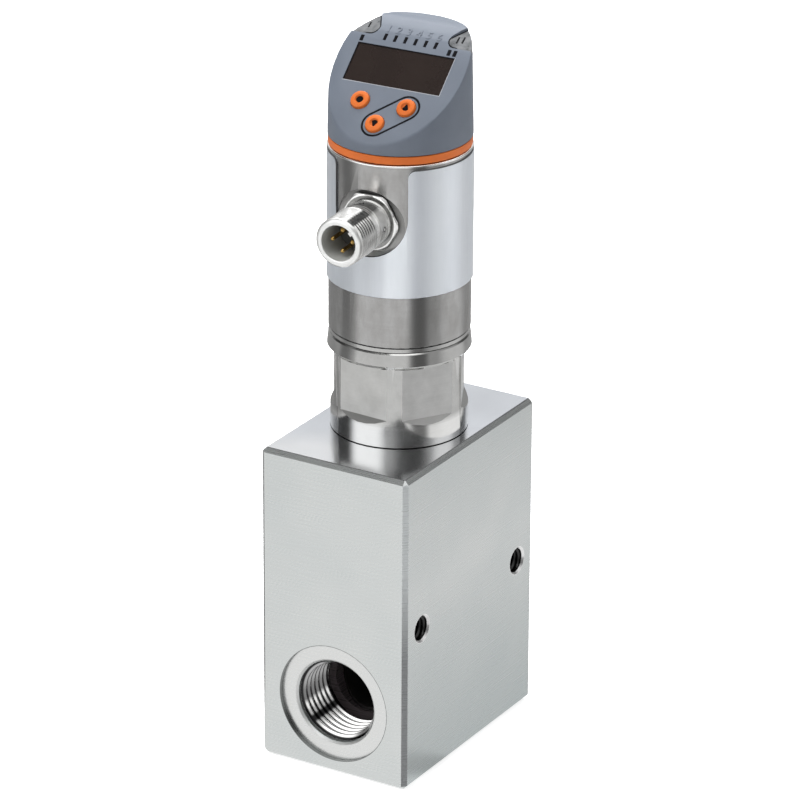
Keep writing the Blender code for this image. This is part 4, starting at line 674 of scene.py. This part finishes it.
def prism(name, outline, low, high, place, body, material):
    """A flat outline given a thickness, on a face of the object."""
    rings = [[place @ Vector((x, y, z)) for x, y in outline] for z in (low, high)]
    return piece(name, *loft(rings), body, material)


def band(name, outer, inner, low, high, place, body, material):
    """A flat closed band between two outlines with as many points."""
    rings = []
    for outline, z in ((outer, low), (outer, high), (inner, high), (inner, low)):
        rings.append([place @ Vector((x, y, z)) for x, y in outline])
    return piece(name, *loft(rings, closed=True), body, material)


def inner_thread(name, place, wall, crest, pitch, start, end, body, material):
    """A helical ridge that stands in from the wall of a bore, running out at both ends."""
    steps = 60
    turns = (start - end) / pitch
    count = int(turns * steps)
    rings = []
    for i in range(count + 1):
        share = i / steps
        angle = 2 * math.pi * share
        fade = min(1, share / 0.35, (turns - share) / 0.25)
        depth = (wall - crest) * max(fade, 0.04)
        base = pitch * 0.49
        section = [
            (wall + 0.05, -base), (wall, -base * 0.94), (wall - 0.55 * depth, -base * 0.5),
            (wall - 0.92 * depth, -base * 0.22), (wall - depth, 0), (wall - 0.92 * depth, base * 0.22),
            (wall - 0.55 * depth, base * 0.5), (wall, base * 0.94), (wall + 0.05, base),
        ]
        height = start - pitch * share
        cosine, sine = math.cos(angle), math.sin(angle)
        rings.append([place @ Vector((r * cosine, r * sine, height + z)) for r, z in section])
    return piece(name, *loft(rings), body, material)


def make_threads(paints):
    for name, place in (("inlet_thread", INLET), ("outlet_thread", OUTLET)):
        inner_thread(name, place, *PORT_THREAD, "base", paints["thread"])
    for name, y in (("fixing_thread_front", -FIXING_Y), ("fixing_thread_rear", FIXING_Y)):
        inner_thread(name, fixing_frame(y), *FIXING_THREAD, "base", paints["hole_shade"])


# Piston spring


def make_spring(paints):
    """The piston's spring, copied from the solid as a piece of its own on the base."""
    mesh = NODES["piston_spring"].data.copy()
    mesh.materials.clear()
    mesh.materials.append(paints["spring"])
    mesh.shade_smooth()
    coil = bpy.data.objects.new("piston_spring_coil", mesh)
    bpy.context.scene.collection.objects.link(coil)
    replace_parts(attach(coil, "base"), "piston_spring")
    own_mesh(coil)


# Housing


def label_edge(offset):
    """Closed upper edge of the label plate: opening, corners and the line round the back."""
    low, corner, reach = LABEL_HIGH - 11.6, 1.6, 11.6
    arch = arc_points((0, low), 10.0 - offset, -math.pi, 0, 25)
    right = arc_points((reach, LABEL_HIGH - corner), corner + offset, math.pi, math.pi / 2, 6)
    left = [(-x, z) for x, z in reversed(right)]
    back = 2 * math.pi * HOUSING_RADIUS - 2 * reach
    behind = [(reach + back * i / 48, LABEL_HIGH + offset) for i in range(1, 48)]
    return arch + right + behind + left


def rolled(x, z, radius):
    """A point of the unrolled plate, wrapped round the housing."""
    angle = x / HOUSING_RADIUS
    return HOUSING @ Vector((radius * math.sin(angle), -radius * math.cos(angle), z))


def make_label_seam_shade(paints):
    """Dark joint line along the upper and lower edges of the label plate, with painted shade beside its edge.
    """
    rings = []
    for (ax, az), (bx, bz) in zip(label_edge(0.0), label_edge(0.17)):
        section = ((ax, az, 16.8), (ax, az, 17.12), (bx, bz, 16.98), (bx, bz, 16.8))
        rings.append([rolled(*point) for point in section])
    piece("label_seam_shade_upper", *loft(rings, closed=True), "housing", paints["seam_shade"])
    rows = [(16.8, LABEL_LOW), (17.26, LABEL_LOW), (17.05, LABEL_LOW - 0.14), (16.8, LABEL_LOW - 0.14)]
    piece("label_seam_shade_lower", *loft(turned_rings(rows, 120, HOUSING), closed=True), "housing", paints["seam_shade"])


def make_housing_bead(paints):
    """Rolled bright edge at the top of the housing, with a dark groove under it."""
    top = HOUSING_TOP
    rows = [(16.7, top - 0.62), (16.98, top - 0.6), (17.1, top - 0.5), (17.12, top - 0.38)]
    rows += [(17.06, top - 0.22), (16.92, top - 0.1), (16.7, top - 0.05)]
    piece("housing_bead", *loft(turned_rings(rows, 120, HOUSING), closed=True), "housing", paints["bead"])


# Cable socket


def socket_thread_radius(height, top, bottom):
    """Radius of the outer thread by angle, with its groove running out at both ends."""
    crest, root, pitch = 5.95, 5.42, 1.0
    fade = max(0, min(1, (top - height) / 0.6, (height - bottom) / 0.8))

    def radius(angle):
        phase = (height / pitch + angle / (2 * math.pi)) % 1
        wave = min(max(abs(phase - 0.5) * 2.6 - 0.15, 0), 1)
        return crest - (crest - root) * fade * (1 - wave)

    return radius


def make_socket_shell(paints):
    """Threaded shell with a waisted neck; the hexagon is a piece of its own."""
    tip, face = SOCKET_TIP, SOCKET_NUT_FACE
    top, bottom = tip - 0.7, 22.6
    rows = [(4.3, tip - 0.3), (4.38, tip - 0.1), (4.6, tip), (5.2, tip), (5.5, tip - 0.12), (5.9, tip - 0.5)]
    count = int((top - bottom) * 10)
    for i in range(count + 1):
        height = top - (top - bottom) * i / count
        rows.append((socket_thread_radius(height, top, bottom), height))
    rows += [(5.95, 22.4), (5.85, 22.2), (5.3, 22.0), (5.2, 21.8), (5.2, 20.7), (5.3, 20.5)]
    rows += [(5.62, 20.4), (5.7, 20.3), (5.7, 17.2), (5.62, 17.1), (5.35, 17.0), (5.3, 16.8)]
    rows += [(5.3, face - 0.1), (5.9, face - 0.4), (5.9, 9.3), (4.3, 9.3)]
    verts, faces = loft(turned_rings(rows, 72, SOCKET), closed=True)
    shell = piece("socket_shell_threaded", verts, faces, "housing", paints["socket"])
    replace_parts(shell, "socket_shell")


def make_socket_details(paints):
    """Key in the mouth, and the punched marks that hold the insert, each in a black ring of painted shade."""
    place = SOCKET @ Matrix.Rotation(math.radians(42), 4, "Z")
    outline = [(3.75, -0.5), (4.5, -0.5), (4.5, 0.5), (3.75, 0.5)]
    prism("socket_key_rib", outline, SOCKET_TIP - 8.1, SOCKET_TIP - 0.12, place, "housing", paints["plated"])
    for i in range(4):
        turn = Matrix.Rotation(math.radians(3 + 90 * i), 4, "Z")
        across = Matrix.Translation((5.68, 0, 18.9)) @ Matrix.Rotation(math.pi / 2, 4, "Y")
        # A black ring of painted shade round each punched mark
        rows = [(0.62, -0.05), (0.62, 0.03), (0.5, 0.06), (0.36, 0.03), (0.36, -0.05)]
        rings = turned_rings(rows, 20, SOCKET @ turn @ across)
        piece(f"punch_ring_{i + 1}", *loft(rings, closed=True), "housing", paints["black"])
        rings = turned_rings([(0.36, -0.05), (0.34, 0.05), (0.2, 0.1)], 16, SOCKET @ turn @ across)
        piece(f"punch_mark_{i + 1}", *loft(rings), "housing", paints["plated"])


def make_socket_nut(paints):
    """Chamfered hexagon, whose corners its front cone cuts back."""
    apothem, corner = 6.8, 7.4
    turn = math.radians(30)

    def limited(limit):
        def radius(angle):
            part = (angle - turn - math.pi / 2) % (math.pi / 3) - math.pi / 6
            return min(apothem / math.cos(part), limit)

        return radius

    face, base = SOCKET_NUT_FACE, SOCKET_NUT_BASE
    rows = [(5.32, base), (5.32, face + 0.02), (6.3, face + 0.02), (limited(6.75), face)]
    rows += [(limited(6.75 + 0.65 * i / 4), face - 0.4 * i / 4) for i in range(1, 5)]
    rows += [(limited(corner), base)]
    verts, faces = loft(turned_rings(rows, 96, SOCKET), closed=True)
    piece("socket_nut", verts, faces, "housing", paints["nut"])


# Marks on the face


def oblong(radius, start, end, count=24):
    """Outline at a distance round the line between two points."""
    angle = math.atan2(end[1] - start[1], end[0] - start[0])
    first = arc_points(start, radius, angle + math.pi / 2, angle + 1.5 * math.pi, count)
    return first + arc_points(end, radius, angle - math.pi / 2, angle + math.pi / 2, count)


def rounded_bar(centre, width, length, corner):
    x, y = width / 2 - corner, length / 2 - corner
    points = []
    for i, (sx, sy) in enumerate(((1, 1), (-1, 1), (-1, -1), (1, -1))):
        at = (centre[0] + sx * x, centre[1] + sy * y)
        points += arc_points(at, corner, i * math.pi / 2, (i + 1) * math.pi / 2, 4)
    return points


def make_face_marks(paints):
    """Line round the two stepping buttons, and bars beside the lamps of both outputs."""
    ink = paints["ink"]
    outer, inner = oblong(3.38, BUTTON_DOWN, BUTTON_UP), oblong(2.88, BUTTON_DOWN, BUTTON_UP)
    band("button_line", outer, inner, -0.05, 0.02, FACE, "head", ink)
    for name, x in (("output_bar_1", -12.2), ("output_bar_2a", 10.55), ("output_bar_2b", 12.05)):
        prism(name, rounded_bar((x, 4.93), 0.9, 1.62, 0.12), -0.05, 0.02, FACE, "head", ink)
    for i in range(6):
        place = ((i - 2.5) * LAMP_PITCH, LAMP_LINE)
        prism(f"lamp_{i + 1}", rounded_bar(place, 0.76, 1.8, 0.05), -0.5, -0.06, FACE, "head", ink)


def make_window_frame(paints):
    """Painted shade in black along the window's top and left, and painted highlight in light grey along its
    bottom and right.
    """
    half_x, half_y = WINDOW_SIZE[0] / 2, WINDOW_SIZE[1] / 2
    low, high = WINDOW_CENTRE - half_y, WINDOW_CENTRE + half_y

    def corner_strip(name, outer, inner, sign, material):
        """An L-shaped strip along two sides that meet in one corner."""
        x0, x1 = -sign * (half_x + outer), sign * (half_x + outer)
        y0 = high + outer if sign < 0 else low - outer
        y1 = low - outer if sign < 0 else high + outer
        width = sign * (outer - inner)
        outline = [(x0, y0), (x1, y0), (x1, y1), (x1 - width, y1), (x1 - width, y0 + width), (x0, y0 + width)]
        prism(name, outline, -0.05, 0.015, FACE, "head", material)

    # A black strip of painted shade, then a light grey strip of painted highlight
    corner_strip("window_shade_strip", 0.12, -0.16, -1, paints["ink"])
    corner_strip("window_highlight_strip", 0.21, 0.06, 1, paints["painted_highlight"])


def make_button_marks(paints):
    """A dot and two arrowheads in the dishes of the buttons."""
    low, high = BUTTON_FLOOR - 0.05, BUTTON_FLOOR + 0.03
    dot = arc_points(BUTTON_SET, 1.08, 0, 2 * math.pi * 23 / 24, 24)
    prism("mark_set", dot, low, high, FACE, "set_button", paints["ink"])
    for name, (x, y), way, body in (
        ("mark_up", BUTTON_UP, 1, "up_button"),
        ("mark_down", BUTTON_DOWN, -1, "down_button"),
    ):
        arrow = [(x - 1.05, y - 0.95 * way), (x + 1.05, y - 0.95 * way), (x, y + 1.15 * way)]
        prism(name, arrow, low, high, FACE, body, paints["ink"])


def make_numerals(paints):
    """The numbers one to six, moulded above the lamps."""
    for i in range(6):
        curve = bpy.data.curves.new(f"numeral_{i + 1}", "FONT")
        curve.body = str(i + 1)
        curve.size = 2.9
        curve.align_x = "CENTER"
        curve.extrude = 0.09
        text = bpy.data.objects.new(f"numeral_{i + 1}", curve)
        bpy.context.scene.collection.objects.link(text)
        bpy.context.view_layer.update()
        mesh = bpy.data.meshes.new_from_object(text.evaluated_get(bpy.context.evaluated_depsgraph_get()))
        bpy.data.objects.remove(text)
        x = (i - 2.5) * LAMP_PITCH
        verts, faces = [], [tuple(p.vertices) for p in mesh.polygons]
        for vert in mesh.vertices:
            y = 7.7 + vert.co.y
            verts.append(FACE @ Vector((x + vert.co.x, y, vert.co.z + dome_drop(y))))
        piece(f"numeral_{i + 1}", verts, faces, "head", paints["grey"])


def dome_drop(up):
    """Height of the dome over the face's plane, at a distance up the slope."""
    start = DOME_START / math.cos(FACE_TILT)
    beyond = max(up - start, 0)
    return math.sqrt(DOME_RADIUS**2 - beyond**2) - DOME_RADIUS


# Marks on the two status windows


def dome_height(depth):
    """Height of the dome, at a distance behind the axis."""
    sine, cosine = math.sin(FACE_TILT), math.cos(FACE_TILT)
    behind = DOME_START + DOME_RADIUS * sine - depth
    centre = DOME_START * sine / cosine - DOME_RADIUS * cosine
    return FACE_HEIGHT + centre + math.sqrt(DOME_RADIUS**2 - behind**2)


def lens_height(side, x, y):
    """Height of a status window's sloping top."""
    tilt = Matrix.Rotation(side * math.radians(9.5), 3, "Y") @ Matrix.Rotation(math.radians(16.7), 3, "X")
    normal = tilt @ Vector((0, 0, 1))
    at_x, at_y = side * (LENS_CORNER[0] - LENS_RADIUS), LENS_CORNER[1]
    pivot = dome_height(at_y) - 0.1
    sloping = pivot - (normal.x * (x - at_x) + normal.y * (y - at_y)) / normal.z
    return min(sloping, dome_height(y) - 0.1)


def lens_strip(name, side, outer, inner, rise, material):
    """A thin strip between two lines of plan points, lying on a status window."""
    rings = []
    for (ax, ay), (bx, by) in zip(outer, inner):
        top_a, top_b = (lens_height(side, x, y) + rise for x, y in ((ax, ay), (bx, by)))
        corners = [(ax, ay, top_a - 0.15), (ax, ay, top_a), (bx, by, top_b), (bx, by, top_b - 0.15)]
        rings.append([HEAD @ Vector(corner) for corner in corners])
    piece(name, *loft(rings), "head", material)


def lens_line(inset, side):
    """The front edge, round corner and slanting edge of a status window, seen from above."""
    radius = LENS_RADIUS - inset
    corner = arc_points(LENS_CORNER, radius, 1.5 * math.pi, LENS_SIDE + math.pi / 2, 9)
    front_y = corner[0][1]
    start = (math.sqrt(LENS_REACH**2 - front_y**2), front_y)
    end_x, end_y = corner[-1]

    def beyond(length):
        return end_x + length * math.cos(LENS_SIDE), end_y + length * math.sin(LENS_SIDE)

    length = 0.0
    while math.hypot(*beyond(length)) < LENS_REACH:
        length += 0.05
    slant = [beyond(share * length) for share in (0.25, 0.5, 0.75, 1.0)]
    return [(side * x, y) for x, y in (start, *corner, *slant)]


def make_lens_marks(paints):
    """Dark joint round each status window, with one bar on the left and two on the right."""
    for side, name, bars in (
        (-1, "left", [((-12.6, 9.1), (-12.25, 7.0))]),
        (1, "right", [((10.75, 8.7), (11.05, 6.4)), ((11.9, 9.3), (12.2, 7.0))]),
    ):
        joint = lens_line(-0.04, side), lens_line(0.3, side)
        lens_strip(f"lens_joint_{name}", side, *joint, 0.03, paints["ink"])
        for i, ((ax, ay), (bx, by)) in enumerate(bars):
            outer, inner = [(ax - 0.2, ay), (bx - 0.2, by)], [(ax + 0.2, ay), (bx + 0.2, by)]
            lens_strip(f"lens_bar_{name}_{i + 1}", side, outer, inner, 0.03, paints["ink"])


# Studio and camera


def add_light(name, azimuth, elevation, distance, size, power):
    data = bpy.data.lights.new(name, "AREA")
    data.shape = "DISK"
    data.size = size
    data.energy = power
    lamp = bpy.data.objects.new(name, data)
    direction = aim(azimuth, elevation)
    lamp.location = Vector((0, 0, 0.1)) + direction * distance
    lamp.rotation_euler = direction.to_track_quat("Z", "Y").to_euler()
    lamp.visible_glossy = False
    bpy.context.scene.collection.objects.link(lamp)


def aim(azimuth, elevation):
    """Direction of an azimuth from the front towards the right, and an elevation, in degrees."""
    a, e = math.radians(azimuth), math.radians(elevation)
    return Vector((math.sin(a) * math.cos(e), -math.cos(a) * math.cos(e), math.sin(e)))


# What the metal mirrors: soft boxes and dark gaps between them
SKY_BASE = 0.42
SKY_LOBES = [
    (-25, 18, 26, 10, 1.35),
    (52, 20, 18, 16, 0.05),
    (112, 20, 16, 10, 0.95),
    (163, 22, 14, 8, 0.12),
    (-81, 20, 20, 8, 0.05),
    (211, 24, 26, 14, 0.88),
    (205, 62, 28, 12, 3.8),
    (30, 62, 22, 9, 1.7),
    (-50, 54, 14, 8, 0.16),
]
FRONT_GLOW = (2, 0, 43, 5, 0.86)
LEFT_SHADE = (-105, 0, 28, 8, 0.28)
FLOOR_BASE = 0.42
FLOOR_LOBES = [
    FRONT_GLOW,
    (62, 0, 11, 6, 0.14),
    (124, 0, 21, 12, 0.76),
    (-62, 0, 10, 6, 0.22),
    (-115, 0, 25, 10, 0.36),
]

# The floor close to the block, and the ranges in metres where it passes into the next pattern
NEAR_BASE = 0.76
NEAR_LOBES = [FRONT_GLOW, (59, 0, 9, 5, 0.55), LEFT_SHADE]
MIDDLE_LOBES = [FRONT_GLOW, (64, 0, 12, 8, 0.14), LEFT_SHADE]
NEAR_TO_MIDDLE = (0.13, 0.17)
MIDDLE_TO_FAR = (0.21, 0.24)


def make_world():
    """White to the camera, an even level to other rays, and the studio's pattern to mirrors."""
    world = bpy.data.worlds.new("studio")
    bpy.context.scene.world = world
    world.use_nodes = True
    world.node_tree.nodes.clear()
    tree = Tree(world.node_tree)
    ray = tree.node("ShaderNodeLightPath").outputs
    pattern = tree.glow(tree.node("ShaderNodeTexCoord").outputs["Generated"], SKY_BASE, SKY_LOBES)
    unseen = tree.blend(ray["Is Glossy Ray"], 0.62, pattern)
    strength = tree.blend(ray["Is Camera Ray"], unseen, 1.0)
    background = tree.node("ShaderNodeBackground", {"Color": (1, 1, 1, 1), "Strength": strength})
    tree.node("ShaderNodeOutputWorld", {"Surface": background.outputs[0]})


def floor_material():
    """White to the camera with a faint shadow, plain to other light, and the studio's pattern to mirrors."""
    material = bpy.data.materials.new("floor")
    material.use_nodes = True
    material.node_tree.nodes.clear()
    tree = Tree(material.node_tree)
    ray = tree.node("ShaderNodeLightPath").outputs
    position = tree.node("ShaderNodeNewGeometry").outputs["Position"]
    flat = tree.vector("MULTIPLY", position, (1, 1, 0))["Vector"]
    outward = tree.vector("NORMALIZE", flat)["Vector"]
    reach = tree.vector("LENGTH", flat)["Value"]
    near = tree.glow(outward, NEAR_BASE, NEAR_LOBES)
    middle = tree.glow(outward, NEAR_BASE, MIDDLE_LOBES)
    far = tree.glow(outward, FLOOR_BASE, FLOOR_LOBES)
    inner = tree.blend(tree.share(reach, *NEAR_TO_MIDDLE), near, middle)
    pattern = tree.blend(tree.share(reach, *MIDDLE_TO_FAR), inner, far)
    diffuse = tree.node("ShaderNodeBsdfDiffuse", {"Color": (0.8, 0.8, 0.8, 1)})
    lift = tree.node("ShaderNodeEmission", {"Strength": tree.times(ray["Is Camera Ray"], 0.55)})
    lifted = tree.node("ShaderNodeAddShader", {0: diffuse.outputs[0], 1: lift.outputs[0]})
    mirror = tree.node("ShaderNodeEmission", {"Strength": pattern})
    shaders = {1: lifted.outputs[0], 2: mirror.outputs[0]}
    mix = tree.node("ShaderNodeMixShader", {0: ray["Is Glossy Ray"], **shaders})
    tree.node("ShaderNodeOutputMaterial", {"Surface": mix.outputs[0]})
    return material


def make_floor():
    mesh = bpy.data.meshes.new("floor")
    half, drop = 4.0, -0.0003
    corners = [(x * half, y * half, drop) for x, y in ((-1, -1), (1, -1), (1, 1), (-1, 1))]
    mesh.from_pydata(corners, [], [(0, 1, 2, 3)])
    mesh.materials.append(floor_material())
    floor = bpy.data.objects.new("floor", mesh)
    bpy.context.scene.collection.objects.link(floor)


def make_camera():
    """The photograph's camera, found from the edges of the block and of the housing."""
    azimuth, elevation, roll = 30.8297, 22.9076, math.radians(0.2907)
    target, distance = Vector((0.2288, 0, 85.6653)) * MM, 1.2499
    back, right = aim(azimuth, elevation), aim(azimuth + 90, 0)
    up = back.cross(right)
    tilted_right = right * math.cos(roll) + up * math.sin(roll)
    tilted_up = up * math.cos(roll) - right * math.sin(roll)
    data = bpy.data.cameras.new("camera")
    data.lens = 237.14
    data.sensor_width = 36
    data.clip_end = 20
    camera = bpy.data.objects.new("camera", data)
    axes = Matrix((tilted_right, tilted_up, back)).transposed().to_4x4()
    camera.matrix_world = Matrix.Translation(target + back * distance) @ axes
    bpy.context.scene.collection.objects.link(camera)
    bpy.context.scene.camera = camera


def main():
    paints = make_materials()
    dress_solids(paints)
    make_threads(paints)
    make_spring(paints)
    make_label_seam_shade(paints)
    make_housing_bead(paints)
    make_socket_shell(paints)
    make_socket_nut(paints)
    make_socket_details(paints)
    make_face_marks(paints)
    make_window_frame(paints)
    make_lens_marks(paints)
    make_button_marks(paints)
    make_numerals(paints)
    make_world()
    make_floor()
    add_light("key", -30, 55, 1.0, 0.7, 8)
    add_light("back", 195, 50, 1.0, 0.6, 12)
    add_light("side", 100, 25, 1.1, 0.6, 2)
    make_camera()
    bpy.context.scene.view_settings.view_transform = "Standard"


main()
bpy.context.view_layer.update()
